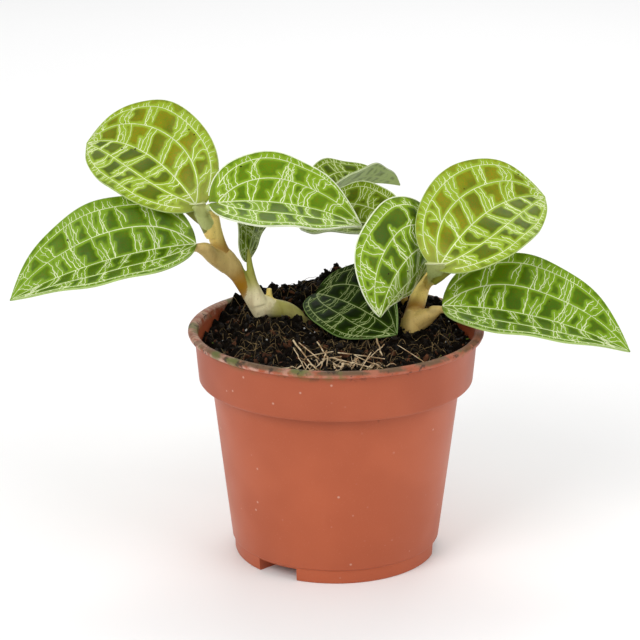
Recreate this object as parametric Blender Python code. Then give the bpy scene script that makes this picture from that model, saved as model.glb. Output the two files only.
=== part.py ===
# Potted jewel orchid: a 90 mm nursery pot filled with peat, with three leafy
# shoots that carry ten net-veined leaf blades.
# Frame: metres, +Z up, +X to the viewer's right, the viewer on the -Y side.
# Origin: on the pot's axis, on the surface that the pot stands on.
# Every number below is in millimetres or degrees, and MM turns it into metres.

import math

import bmesh
import bpy
from mathutils import Vector

MM = 0.001
GAP = 0.45                    # clearance kept between neighbouring pieces

# Pot, a thin moulded shell
POT_HEIGHT = 71.7
POT_SIDES = 56
FOOT_RADIUS = 31.3
FOOT_HEIGHT = 4.4
BODY_BOTTOM_RADIUS = 32.1
BODY_TOP_RADIUS = 38.0
COLLAR_BOTTOM = 55.4
COLLAR_BOTTOM_RADIUS = 41.9
COLLAR_TOP_RADIUS = 43.0
LIP_RADIUS = 45.0
LIP_HEIGHT = 2.2
WALL = 0.9
FLOOR = 1.2
FLOOR_RADIUS = 29.9

# Three drain channels in the underside, open at the foot
CHANNEL_ANGLES = (-125.0, -5.0, 115.0)     # from +X, towards +Y
CHANNEL_HEIGHT = 4.0
CHANNEL_INNER = 10.0
CHANNEL_INNER_HALF = 3.0
CHANNEL_OUTER_HALF = 7.0
CHANNEL_ROOF = 1.1
DRAIN_HOLE_RADIUS = 2.6
DRAIN_HOLE_PLACE = 20.0
DRAIN_HOLE_SIDES = 16

# Soil
SOIL_LEVEL = 67.0
SOIL_TOP_RADIUS = 41.3
SOIL_RINGS = 11
SOIL_SIDES = 54
SOIL_HEAPS = (                # x, y, spread, height above the level
    (-18.0, 9.0, 7.5, 4.0),   # under the creeping rhizome
    (24.0, 4.0, 7.0, 2.6),    # round the right shoot
    (1.0, 32.5, 4.6, 6.2),    # lump behind the dark leaf
    (-13.0, 35.0, 6.5, -2.2),  # hollow at its left
    (-3.0, 20.0, 5.0, -2.4),  # under the dark leaf's base
    (3.0, 0.0, 6.0, -0.8),    # under the dark leaf's tip
    (27.0, 27.0, 6.0, 1.5),   # crumbs at the back right
    (0.0, -36.0, 16.0, 1.6),  # fibres behind the front rim
)
BACK_HEAP = (13.0, 21.0, 7.6)     # where the rise starts, its run, its height
SIDE_DIP = 1.4
CRUMB_RELIEF = 0.55
STEM_HOLE_TOP = 75.5          # tubes that start higher need no hole

# Leaf blades: place of the blade's base, then angles and sizes.
# turn: heading from +X towards +Y, rise: slope of the midrib at the base,
# droop: how far the midrib bends down, sway: how far it bends sideways,
# roll: tilt about the midrib, twist: more tilt at the tip,
# half: half width, widest: where, round and sharp: outline of base and tip,
# lobe: how far the base lobes reach back, fold and curl: cross-section.
BLADE = 0.7                   # thickness
BLADE_STEPS = 12
BLADE_STRIPS = 6
BLADE_WAVE = 0.5
LEAVES = {
    "leaf_left_upper": dict(
        base=(-42.5, 4.5, 108.6), turn=138, rise=45, droop=65, sway=-3, roll=-36, twist=-6,
        length=53.0, half=18.0, widest=0.43, round=2.2, sharp=2.0, lobe=2.0, fold=17, curl=1),
    "leaf_left_lower": dict(
        base=(-42.2, 0.0, 97.3), turn=184, rise=-4, droop=23, sway=7, roll=-34, twist=11,
        length=58.5, half=19.5, widest=0.41, round=2.3, sharp=2.1, lobe=0.0, fold=24, curl=5),
    "leaf_left_front": dict(
        base=(-34.9, -3.5, 111.0), turn=4, rise=5, droop=33, sway=7, roll=28, twist=-3,
        length=44.5, half=17.7, widest=0.40, round=2.3, sharp=2.0, lobe=3.0, fold=18, curl=1),
    "leaf_left_small": dict(
        base=(-27.4, 12.4, 88.6), turn=61, rise=69, droop=16, sway=-8, roll=-84, twist=-9,
        length=27.6, half=9.0, widest=0.50, round=1.35, sharp=2.0, lobe=0.5, fold=10, curl=-2),
    "leaf_right_upper": dict(
        base=(31.0, -6.5, 92.3), turn=45, rise=46, droop=63, sway=0, roll=33, twist=7,
        length=52.5, half=18.0, widest=0.42, round=2.1, sharp=2.0, lobe=1.5, fold=18, curl=1),
    "leaf_right_lower": dict(
        base=(32.4, 0.0, 77.8), turn=-7, rise=2, droop=27, sway=-5, roll=30, twist=-9,
        length=58.5, half=19.5, widest=0.40, round=2.1, sharp=2.0, lobe=0.0, fold=24, curl=4),
    "leaf_middle": dict(
        base=(29.7, 4.5, 96.7), turn=-128, rise=8, droop=81, sway=-1, roll=-86, twist=1,
        length=34.8, half=17.8, widest=0.41, round=2.3, sharp=2.1, lobe=5.0, fold=-10, curl=-31),
    "leaf_on_soil": dict(
        base=(-5.5, 26.0, 73.8), turn=-52, rise=7, droop=22, sway=-4, roll=31, twist=19,
        length=41.0, half=13.7, widest=0.51, round=2.2, sharp=2.4, lobe=1.0, fold=21, curl=3),
    "leaf_back_folded": dict(
        base=(-4.8, 39.0, 102.0), turn=60, rise=6, droop=23, sway=-20, roll=-1, twist=-3,
        length=41.8, half=11.9, widest=0.40, round=2.2, sharp=1.75, lobe=1.5, fold=40, curl=2),
    "leaf_back_dark": dict(
        base=(17.2, 12.0, 98.5), turn=140, rise=5, droop=24, sway=3, roll=-20, twist=-11,
        length=36.8, half=14.2, widest=0.46, round=2.2, sharp=2.1, lobe=2.0, fold=22, curl=4),
}

# Shoots: routes of (x, y, z, radius). A stalk names its blade, its radius
# under the blade's base and the route to there.
STEM_SIDES = 10
STALK_RUN = 3.0               # length that lies under the blade's base
STALK_GAP = 0.95              # from the stalk to the blade's middle surface
SHOOTS = {
    "shoot_left": dict(
        tubes=(
            ((-25.0, 10.6, 74.2, 3.1), (-22.4, 11.2, 74.3, 3.6), (-19.0, 12.0, 73.4, 3.0),
             (-15.4, 13.0, 72.5, 2.7), (-12.6, 13.4, 71.0, 2.3), (-10.3, 14.2, 68.5, 2.0),
             (-7.6, 16.0, 65.6, 1.9)),
            ((-22.5, 11.0, 72.0, 2.9), (-24.2, 11.0, 75.4, 3.1), (-27.3, 10.5, 80.2, 2.5),
             (-30.6, 10.0, 85.7, 2.5), (-33.4, 9.5, 89.5, 2.7), (-35.4, 8.8, 93.8, 2.4),
             (-36.9, 7.8, 99.0, 2.4), (-37.6, 6.8, 104.0, 2.2), (-38.4, 6.2, 107.0, 1.6)),
            ((-29.3, 10.1, 83.6, 2.8), (-31.4, 9.7, 86.4, 3.3), (-34.4, 8.6, 89.6, 3.2),
             (-36.6, 6.6, 91.8, 2.4)),
            ((-20.4, 12.4, 76.0, 1.1), (-20.6, 13.0, 79.6, 0.8)),
        ),
        stalks=(
            ("leaf_left_upper", 1.6, ((-37.6, 7.4, 98.0, 2.2), (-39.2, 5.8, 102.4, 2.3))),
            ("leaf_left_lower", 1.2, ((-33.4, 9.0, 88.4, 3.0), (-37.4, 5.2, 92.2, 2.4))),
            ("leaf_left_front", 0.9, ((-37.4, 6.6, 104.5, 1.6), (-37.6, 3.0, 107.6, 1.3))),
            ("leaf_left_small", 0.8, ((-23.6, 9.8, 76.2, 2.7), (-25.6, 9.6, 80.0, 1.9),
                                      (-26.4, 10.4, 82.8, 1.4))),
        )),
    "shoot_right": dict(
        tubes=(
            ((22.2, 2.6, 62.5, 2.4), (22.8, 3.0, 69.6, 2.6), (23.6, 4.6, 73.4, 2.8),
             (25.2, 7.9, 77.6, 2.7), (26.9, 11.8, 82.6, 2.7), (28.4, 15.0, 87.2, 2.3),
             (29.8, 16.0, 91.6, 1.7)),
            ((22.3, 2.4, 66.0, 3.0), (22.9, 2.8, 70.6, 3.2), (24.2, 4.4, 74.0, 3.1)),
        ),
        stalks=(
            ("leaf_right_upper", 1.6, ((27.4, 11.6, 82.0, 2.0), (30.2, 6.6, 84.6, 2.1),
                                       (30.8, 0.4, 87.2, 2.0))),
            ("leaf_right_lower", 1.1, ((23.8, 2.6, 71.6, 3.0), (26.8, 2.2, 73.6, 2.6),
                                       (29.4, 1.4, 75.0, 1.8))),
            ("leaf_middle", 0.9, ((29.6, 15.8, 90.4, 1.6), (31.2, 13.4, 95.2, 1.3))),
        )),
    "shoot_back": dict(
        tubes=(
            ((21.8, 26.0, 63.0, 1.8), (21.8, 26.0, 72.0, 1.8), (21.6, 25.8, 77.0, 1.7),
             (20.8, 25.6, 83.0, 1.6), (19.6, 27.0, 87.0, 1.6), (16.6, 33.0, 90.8, 1.5),
             (9.8, 40.2, 94.5, 1.4), (3.0, 42.0, 97.6, 1.3)),
        ),
        stalks=(
            ("leaf_back_folded", 0.9, ((3.0, 42.0, 97.6, 1.3), (-1.6, 41.4, 99.6, 1.2))),
            ("leaf_back_dark", 0.9, ((20.4, 25.8, 84.6, 1.4), (20.2, 20.0, 91.5, 1.2))),
        )),
}

LEAF_COLOURS = {
    "leaf_left_upper": (0.29, 0.37, 0.05), "leaf_right_upper": (0.29, 0.37, 0.05),
    "leaf_on_soil": (0.03, 0.08, 0.01), "leaf_back_dark": (0.05, 0.13, 0.02),
    "leaf_back_folded": (0.07, 0.16, 0.03),
}
LEAF_COLOUR = (0.13, 0.28, 0.03)


# Shared helpers

def clear_scene():
    for old in list(bpy.data.objects):
        bpy.data.objects.remove(old, do_unlink=True)


def material(name, colour, roughness, metallic=0.0):
    made = bpy.data.materials.new(name)
    made.use_nodes = True
    shader = made.node_tree.nodes["Principled BSDF"]
    shader.inputs["Base Color"].default_value = (*colour, 1.0)
    shader.inputs["Roughness"].default_value = roughness
    shader.inputs["Metallic"].default_value = metallic
    return made


def mesh_object(name, points, faces, finish=None):
    """Points in millimetres; faces are turned to point outwards."""
    mesh = bpy.data.meshes.new(name)
    mesh.from_pydata([Vector(point) * MM for point in points], [], faces)
    shape = bmesh.new()
    shape.from_mesh(mesh)
    bmesh.ops.recalc_face_normals(shape, faces=shape.faces)
    shape.to_mesh(mesh)
    shape.free()
    made = bpy.data.objects.new(name, mesh)
    bpy.context.collection.objects.link(made)
    if finish:
        mesh.materials.append(finish)
    return made


def smooth(made, angle=40.0):
    made.data.shade_smooth()
    made.data.set_sharp_from_angle(angle=math.radians(angle))


def turned(name, profile, sides, finish=None):
    """Revolve a profile that starts and ends on the axis."""
    points, rings = [], []
    for radius, height in profile:
        if radius == 0.0:
            rings.append([len(points)])
            points.append((0.0, 0.0, height))
            continue
        rings.append(list(range(len(points), len(points) + sides)))
        for side in range(sides):
            angle = 2 * math.pi * side / sides
            points.append((radius * math.cos(angle), radius * math.sin(angle), height))
    return mesh_object(name, points, joined_rings(rings), finish)


def joined_rings(rings):
    """Quads between neighbouring rings; a ring of one point is a pole."""
    faces = []
    for lower, upper in zip(rings, rings[1:]):
        sides = max(len(lower), len(upper))
        for side in range(sides):
            after = (side + 1) % sides
            corners = [lower[side % len(lower)], lower[after % len(lower)],
                       upper[after % len(upper)], upper[side % len(upper)]]
            faces.append([c for i, c in enumerate(corners) if c != corners[i - 1]])
    return faces


def boolean(target, cutter, operation):
    """Apply one Boolean on the target and remove the other object."""
    step = target.modifiers.new(operation.lower(), "BOOLEAN")
    step.operation = operation
    step.solver = "EXACT"
    step.object = cutter
    apply_modifiers(target)
    bpy.data.objects.remove(cutter, do_unlink=True)


def apply_modifiers(target):
    graph = bpy.context.evaluated_depsgraph_get()
    mesh = bpy.data.meshes.new_from_object(target.evaluated_get(graph))
    target.modifiers.clear()
    target.data = mesh


def prism(name, outline, bottom, top):
    """Upright prism over a plan outline."""
    count = len(outline)
    points = [(x, y, bottom) for x, y in outline] + [(x, y, top) for x, y in outline]
    faces = [list(range(count)), list(range(count, 2 * count))]
    for i in range(count):
        after = (i + 1) % count
        faces.append([i, after, count + after, count + i])
    return mesh_object(name, points, faces)


def drain_wedge(name, angle, inner, outer, margin, bottom, top):
    """Wedge along a drain channel, grown sideways by the margin."""
    slope = (CHANNEL_OUTER_HALF - CHANNEL_INNER_HALF) / (FOOT_RADIUS - CHANNEL_INNER)
    inner_half = CHANNEL_INNER_HALF + slope * (inner - CHANNEL_INNER) + margin
    outer_half = CHANNEL_INNER_HALF + slope * (outer - CHANNEL_INNER) + margin
    plan = [(inner, -inner_half), (outer, -outer_half), (outer, outer_half), (inner, inner_half)]
    c, s = math.cos(math.radians(angle)), math.sin(math.radians(angle))
    return prism(name, [(x * c - y * s, x * s + y * c) for x, y in plan], bottom, top)


# Pot

def pot_inner_radius(height):
    """Inside of the wall, from the floor to the collar's step."""
    share = (height - FLOOR) / (COLLAR_BOTTOM - FLOOR)
    return FLOOR_RADIUS + share * (BODY_TOP_RADIUS - WALL - FLOOR_RADIUS)


def make_pot():
    top = POT_HEIGHT
    lip_under = top - LIP_HEIGHT
    inner_collar_top = COLLAR_TOP_RADIUS - WALL
    inner_collar_bottom = COLLAR_BOTTOM_RADIUS - WALL
    profile = [
        (0.0, 0.0), (FOOT_RADIUS - 0.4, 0.0), (FOOT_RADIUS, 0.4),
        (FOOT_RADIUS + 0.25, FOOT_HEIGHT), (BODY_BOTTOM_RADIUS, FOOT_HEIGHT + 0.3),
        (BODY_TOP_RADIUS, COLLAR_BOTTOM - 0.5), (BODY_TOP_RADIUS + 0.5, COLLAR_BOTTOM),
        (COLLAR_BOTTOM_RADIUS - 0.8, COLLAR_BOTTOM), (COLLAR_BOTTOM_RADIUS, COLLAR_BOTTOM + 0.8),
        (COLLAR_TOP_RADIUS, lip_under), (LIP_RADIUS - 0.7, lip_under + 0.1),
        (LIP_RADIUS - 0.1, lip_under + 0.7), (LIP_RADIUS, lip_under + 1.2),
        (LIP_RADIUS - 0.3, top - 0.4), (LIP_RADIUS - 0.9, top), (COLLAR_TOP_RADIUS + 0.1, top),
        (inner_collar_top + 0.3, top - 0.5), (inner_collar_top, top - 1.6),
        (inner_collar_bottom, COLLAR_BOTTOM + 1.2),
        (BODY_TOP_RADIUS - WALL + 0.3, COLLAR_BOTTOM + WALL),
        (BODY_TOP_RADIUS - WALL, COLLAR_BOTTOM + 0.2),
        (FLOOR_RADIUS, FLOOR), (0.0, FLOOR),
    ]
    finish = material("terracotta plastic", (0.44, 0.11, 0.05), 0.42)
    pot = turned("pot", profile, POT_SIDES, finish)
    roof = CHANNEL_HEIGHT + CHANNEL_ROOF
    for angle in CHANNEL_ANGLES:
        cover = drain_wedge("cover", angle, CHANNEL_INNER - CHANNEL_ROOF, FLOOR_RADIUS + 0.3,
                            CHANNEL_ROOF, FLOOR / 2, roof)
        boolean(pot, cover, "UNION")
    for angle in CHANNEL_ANGLES:
        channel = drain_wedge("channel", angle, CHANNEL_INNER, FOOT_RADIUS + 3.0, 0.0,
                              -1.0, CHANNEL_HEIGHT)
        boolean(pot, channel, "DIFFERENCE")
        turn = math.radians(angle)
        centre = Vector((math.cos(turn), math.sin(turn), 0.0)) * DRAIN_HOLE_PLACE
        ring = [2 * math.pi * i / DRAIN_HOLE_SIDES for i in range(DRAIN_HOLE_SIDES)]
        hole = prism("hole", [(centre.x + DRAIN_HOLE_RADIUS * math.cos(a),
                               centre.y + DRAIN_HOLE_RADIUS * math.sin(a)) for a in ring],
                     CHANNEL_HEIGHT - 1.0, roof + 1.0)
        boolean(pot, hole, "DIFFERENCE")
    smooth(pot)


# Soil

def ease(value):
    value = min(max(value, 0.0), 1.0)
    return value * value * (3 - 2 * value)


def soil_height(x, y):
    start, run, height = BACK_HEAP
    level = SOIL_LEVEL + height * ease((y - start) / run) * (1 - 0.2 * ease(x / 30))
    level -= SIDE_DIP * ease((abs(x) - 26) / 14) * (1 - ease((y - 8) / 14))
    for heap_x, heap_y, spread, rise in SOIL_HEAPS:
        away = (x - heap_x) ** 2 + (y - heap_y) ** 2
        level += rise * math.exp(-away / (2 * spread ** 2))
    crumbs = (math.sin(1.27 * x + 0.4 * y) + math.sin(1.09 * y - 0.7 * x + 1.3)
              + math.sin(0.83 * x + 1.41 * y + 2.6))
    return level + CRUMB_RELIEF * crumbs


def make_soil():
    finish = material("peat soil", (0.02, 0.012, 0.008), 0.95)
    bottom = FLOOR + GAP
    step = COLLAR_BOTTOM + WALL + GAP
    outer = [(0.0, bottom), (FLOOR_RADIUS - GAP - 0.3, bottom),
             (pot_inner_radius(COLLAR_BOTTOM - 2.0) - GAP, COLLAR_BOTTOM - 2.0),
             (BODY_TOP_RADIUS - WALL - GAP - 0.1, step), (COLLAR_BOTTOM_RADIUS - WALL - GAP, step + 1.2)]
    points, rings = [], []
    radii = [SOIL_TOP_RADIUS * (SOIL_RINGS - i) / SOIL_RINGS for i in range(SOIL_RINGS + 1)]
    for radius, height in outer + [(radius, None) for radius in radii]:
        if radius == 0.0:
            rings.append([len(points)])
            points.append((0.0, 0.0, soil_height(0.0, 0.0) if height is None else height))
            continue
        rings.append(list(range(len(points), len(points) + SOIL_SIDES)))
        for side in range(SOIL_SIDES):
            angle = 2 * math.pi * (side + 0.5 * (len(rings) % 2)) / SOIL_SIDES
            x, y = radius * math.cos(angle), radius * math.sin(angle)
            points.append((x, y, soil_height(x, y) if height is None else height))
    soil = mesh_object("soil", points, joined_rings(rings), finish)
    for angle in CHANNEL_ANGLES:
        cover = drain_wedge("cover", angle, CHANNEL_INNER - CHANNEL_ROOF - GAP, FLOOR_RADIUS + 2.0,
                            CHANNEL_ROOF + GAP, 0.0, CHANNEL_HEIGHT + CHANNEL_ROOF + GAP)
        boolean(soil, cover, "DIFFERENCE")
    return soil


# Leaf blades

def leaf_frame(leaf, along):
    """Forward, left and upward unit vectors of the midrib."""
    slope = math.radians(leaf["rise"] - leaf["droop"] * along)
    heading = math.radians(leaf["turn"] + leaf["sway"] * along)
    tilt = math.radians(leaf["roll"] + leaf["twist"] * along)
    forward = Vector((math.cos(slope) * math.cos(heading),
                      math.cos(slope) * math.sin(heading), math.sin(slope)))
    level = Vector((-math.sin(heading), math.cos(heading), 0.0))
    upright = forward.cross(level)
    left = level * math.cos(tilt) + upright * math.sin(tilt)
    return forward, left, forward.cross(left)


def leaf_midrib(leaf, along, steps=24):
    place = Vector(leaf["base"])
    for i in range(steps):
        forward = leaf_frame(leaf, along * (i + 0.5) / steps)[0]
        place += forward * (leaf["length"] * along / steps)
    return place


def leaf_half_width(leaf, along):
    widest = leaf["widest"]
    if along < widest:
        return leaf["half"] * math.sqrt(1 - ((widest - along) / widest) ** leaf["round"])
    return leaf["half"] * (1 - ((along - widest) / (1 - widest)) ** leaf["sharp"])


def leaf_point(leaf, along, side):
    """Middle surface of a blade; side runs from -1 (right edge) to 1 (left)."""
    forward, left, upward = leaf_frame(leaf, along)
    width = leaf_half_width(leaf, along) * abs(side)
    angle = math.radians(leaf["fold"] + leaf["curl"] * abs(side) / 2)
    wave = BLADE_WAVE * side ** 2 * math.sin(math.pi * along) * math.sin(
        5 * math.pi * along + (2.1 if side > 0 else 0.4))
    place = leaf_midrib(leaf, along) - forward * (leaf["lobe"] * side ** 2 * (1 - along) ** 2)
    place += left * (math.copysign(width, side) * math.cos(angle))
    return place + upward * (width * math.sin(angle) + wave)


def leaf_normal(leaf, along, side, step=0.01):
    across = leaf_point(leaf, along, side + step) - leaf_point(leaf, along, side - step)
    run = leaf_point(leaf, min(along + step, 1.0), side) - leaf_point(leaf, along - step / 2, side)
    return run.cross(across).normalized()


def make_leaf(name, leaf):
    """Both faces are split into the same triangles, one blade apart."""
    rows = [0.006 + 0.987 * (1 - math.cos(math.pi * i / BLADE_STEPS)) / 2
            for i in range(BLADE_STEPS + 1)]
    sides = [2 * j / BLADE_STRIPS - 1 for j in range(BLADE_STRIPS + 1)]
    width = len(sides)
    upper, lower = [], []
    for along in rows:
        for side in sides:
            place = leaf_point(leaf, along, side)
            normal = leaf_normal(leaf, along, side)
            upper.append(place + normal * (BLADE / 2))
            lower.append(place - normal * (BLADE / 2))
    count = len(upper)
    faces = []
    for i in range(BLADE_STEPS):
        for j in range(BLADE_STRIPS):
            a, b = i * width + j, i * width + j + 1
            c, d = b + width, a + width
            split = [(a, b, c), (a, c, d)] if j < BLADE_STRIPS / 2 else [(a, b, d), (b, c, d)]
            for corners in split:
                faces.append(corners)
                faces.append([count + corner for corner in reversed(corners)])
    edge = list(range(width))
    edge += [i * width + width - 1 for i in range(1, BLADE_STEPS + 1)]
    edge += [BLADE_STEPS * width + j for j in range(width - 2, -1, -1)]
    edge += [i * width for i in range(BLADE_STEPS - 1, 0, -1)]
    for a, b in zip(edge, edge[1:] + edge[:1]):
        faces.append((a, b, count + b))
        faces.append((a, count + b, count + a))
    finish = material(name.replace("_", " "), LEAF_COLOURS.get(name, LEAF_COLOUR), 0.4)
    smooth(mesh_object(name, upper + lower, faces, finish))


# Shoots

def curve_point(stations, place):
    """Catmull-Rom curve through (x, y, z, radius) stations."""
    last = len(stations) - 1
    i = min(int(place), last - 1)
    u = place - i
    p0, p1 = stations[max(i - 1, 0)], stations[i]
    p2, p3 = stations[i + 1], stations[min(i + 2, last)]
    return [0.5 * (2 * b + (c - a) * u + (2 * a - 5 * b + 4 * c - d) * u ** 2
                   + (3 * b - a - 3 * c + d) * u ** 3) for a, b, c, d in zip(p0, p1, p2, p3)]


def tube(name, stations, extra=0.0, finish=None):
    """Closed tube along the stations, with one more ring between each two."""
    count = 2 * (len(stations) - 1)
    spots = [curve_point(stations, i / 2) for i in range(count + 1)]
    centres = [Vector(spot[:3]) for spot in spots]
    centres[0] += (centres[0] - centres[1]).normalized() * extra
    centres[-1] += (centres[-1] - centres[-2]).normalized() * extra
    points, rings = [centres[0]], [[0]]
    side = Vector((0.31, 0.87, 0.38))
    for i, centre in enumerate(centres):
        run = (centres[min(i + 1, count)] - centres[max(i - 1, 0)]).normalized()
        side = (side - run * side.dot(run)).normalized()
        other = run.cross(side)
        rings.append(list(range(len(points), len(points) + STEM_SIDES)))
        for k in range(STEM_SIDES):
            angle = 2 * math.pi * k / STEM_SIDES
            around = side * math.cos(angle) + other * math.sin(angle)
            points.append(centre + around * (spots[i][3] + extra))
    rings.append([len(points)])
    points.append(centres[-1])
    return mesh_object(name, points, joined_rings(rings), finish)


def stalk_stations(leaf, radius, stations):
    """A leaf stalk's route, ended just under its blade's base."""
    forward, left, upward = leaf_frame(leaf, 0.0)
    base = Vector(leaf["base"]) - upward * (radius + STALK_GAP)
    near, end = base - forward * STALK_RUN, base + forward * 0.8
    return (*stations, (*near, radius + 0.2), (*end, radius))


def shoot_routes(shoot):
    routes = list(shoot["tubes"])
    routes += [stalk_stations(LEAVES[name], *rest) for name, *rest in shoot["stalks"]]
    return routes


def make_shoot(name, shoot):
    finish = material(name.replace("_", " "), (0.62, 0.47, 0.22), 0.5)
    routes = shoot_routes(shoot)
    body = tube(name, routes[0], finish=finish)
    for route in routes[1:]:
        boolean(body, tube("joined tube", route, finish=finish), "UNION")
    smooth(body)


def main():
    clear_scene()
    make_pot()
    soil = make_soil()
    for shoot in SHOOTS.values():
        for route in shoot_routes(shoot):
            if min(station[2] for station in route) < STEM_HOLE_TOP:
                boolean(soil, tube("stem hole", route, extra=GAP), "DIFFERENCE")
    smooth(soil, 60.0)
    for name, shoot in SHOOTS.items():
        make_shoot(name, shoot)
    for name, leaf in LEAVES.items():
        make_leaf(name, leaf)


main()
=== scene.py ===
import math
import random

import bmesh
import bpy
import numpy as np
from mathutils import Euler, Matrix, Vector, noise
from mathutils.kdtree import KDTree


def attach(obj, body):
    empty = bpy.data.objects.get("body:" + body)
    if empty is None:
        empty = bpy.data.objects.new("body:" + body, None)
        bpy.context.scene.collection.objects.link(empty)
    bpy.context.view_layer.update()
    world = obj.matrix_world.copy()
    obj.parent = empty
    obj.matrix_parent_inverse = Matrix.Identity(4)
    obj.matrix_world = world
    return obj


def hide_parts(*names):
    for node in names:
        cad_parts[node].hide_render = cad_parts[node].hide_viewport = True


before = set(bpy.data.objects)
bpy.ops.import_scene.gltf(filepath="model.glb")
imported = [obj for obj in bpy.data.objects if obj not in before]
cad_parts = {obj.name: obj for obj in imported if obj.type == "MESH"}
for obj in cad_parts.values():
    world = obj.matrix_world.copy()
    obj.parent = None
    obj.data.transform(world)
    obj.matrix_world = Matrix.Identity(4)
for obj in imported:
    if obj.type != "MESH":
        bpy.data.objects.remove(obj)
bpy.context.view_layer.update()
mm = 0.001


# ---- small helpers used by every piece
def deselectAll():
    if bpy.context.object and bpy.context.object.mode != "OBJECT":
        bpy.ops.object.mode_set(mode="OBJECT")
    bpy.ops.object.select_all(action="DESELECT")


def makeActive(obj):
    deselectAll()
    obj.select_set(True)
    bpy.context.view_layer.objects.active = obj
    return obj


def editStart(obj, mode="VERT"):
    makeActive(obj)
    bpy.ops.object.mode_set(mode="EDIT")
    bpy.ops.mesh.select_mode(type=mode)
    bpy.ops.mesh.select_all(action="SELECT")


def editEnd():
    bpy.ops.object.mode_set(mode="OBJECT")


def applyAll(obj):
    makeActive(obj)
    for step in list(obj.modifiers):
        bpy.ops.object.modifier_apply(modifier=step.name)


def joinAll(name, parts):
    makeActive(parts[0])
    for part in parts[1:]:
        part.select_set(True)
    if len(parts) > 1:
        bpy.ops.object.join()
    parts[0].name = name
    parts[0].data.name = name
    return parts[0]


def settle(obj):  # place, turn and scale go into the mesh
    makeActive(obj)
    bpy.ops.object.transform_apply(location=True, rotation=True, scale=True)


def meshFrom(name, points, faces, uvs=None):
    mesh = bpy.data.meshes.new(name)
    mesh.from_pydata(np.asarray(points).tolist(), [], faces)
    obj = bpy.data.objects.new(name, mesh)
    bpy.context.collection.objects.link(obj)
    return obj


def smoothShade(obj, angle=50):
    makeActive(obj)
    bpy.ops.object.shade_smooth_by_angle(angle=math.radians(angle))


def handOver(obj, nodes=()):
    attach(obj, "root")
    if nodes:
        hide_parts(*nodes)


def ease(value):
    value = np.clip(value, 0.0, 1.0)
    return value * value * (3 - 2 * value)


def storeFloat(mesh, name, values):
    layer = mesh.attributes.new(name, "FLOAT", "POINT")
    layer.data.foreach_set("value", np.asarray(values, dtype=np.float32))


def storeColour(mesh, name, values):
    layer = mesh.attributes.new(name, "FLOAT_COLOR", "POINT")
    rgba = np.ones((len(values), 4), dtype=np.float32)
    rgba[:, :3] = values
    layer.data.foreach_set("color", rgba.ravel())


# ---- shader helpers
def newMaterial(name, roughness=0.5, specular=0.5):
    made = bpy.data.materials.new(name)
    made.use_nodes = True
    tree = made.node_tree
    shader = tree.nodes["Principled BSDF"]
    shader.inputs["Roughness"].default_value = roughness
    shader.inputs["Specular IOR Level"].default_value = specular
    return made, tree, shader


def addNode(tree, kind, **values):
    node = tree.nodes.new(kind)
    for key, value in values.items():
        setattr(node, key, value)
    return node


def setInputs(node, **values):
    for key, value in values.items():
        node.inputs[key].default_value = value
    return node


def objectCoordinates(tree):
    return addNode(tree, "ShaderNodeTexCoord").outputs["Object"]


def readAttribute(tree, name, output="Fac"):
    return addNode(tree, "ShaderNodeAttribute", attribute_name=name).outputs[output]


def grain(tree, place, scale, detail=3.0, roughness=0.55):
    node = addNode(tree, "ShaderNodeTexNoise")
    tree.links.new(place, node.inputs["Vector"])
    setInputs(node, Scale=scale, Detail=detail, Roughness=roughness)
    return node.outputs["Fac"]


def window(tree, value, low, high, start=0.0, end=1.0):
    node = addNode(tree, "ShaderNodeMapRange", interpolation_type="SMOOTHSTEP")
    tree.links.new(value, node.inputs["Value"])
    for key, number in zip(("From Min", "From Max", "To Min", "To Max"), (low, high, start, end)):
        node.inputs[key].default_value = number
    return node.outputs["Result"]


def blendColours(tree, share, first, second, kind="MIX"):
    node = addNode(tree, "ShaderNodeMix", data_type="RGBA", blend_type=kind)
    for socket, value in ((node.inputs[0], share), (node.inputs[6], first), (node.inputs[7], second)):
        if isinstance(value, (int, float)):
            socket.default_value = value
        elif isinstance(value, tuple):
            socket.default_value = (*value, 1.0)
        else:
            tree.links.new(value, socket)
    return node.outputs[2]


def calculate(tree, kind, first, second):
    node = addNode(tree, "ShaderNodeMath", operation=kind)
    for socket, value in zip(node.inputs, (first, second)):
        if isinstance(value, (int, float)):
            socket.default_value = value
        else:
            tree.links.new(value, socket)
    return node.outputs[0]


def addBump(tree, shader, height, strength, distance):
    bump = addNode(tree, "ShaderNodeBump")
    setInputs(bump, Strength=strength, Distance=distance)
    tree.links.new(height, bump.inputs["Height"])
    tree.links.new(bump.outputs["Normal"], shader.inputs["Normal"])


# ---- camera, light and floor
stage = {
    "camera": (-4.85, -650.0, 277.3), "down": 0.304, "lens": 126.0,
    "floor": (0.90, 0.90, 0.90), "sky": 0.64,
    "lights": (((-0.75, -0.9, 0.95), 0.7, 9.0), ((0.9, -0.6, 0.7), 0.8, 4.5),
               ((0.1, 0.9, 1.2), 0.9, 6.5)),
}


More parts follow.
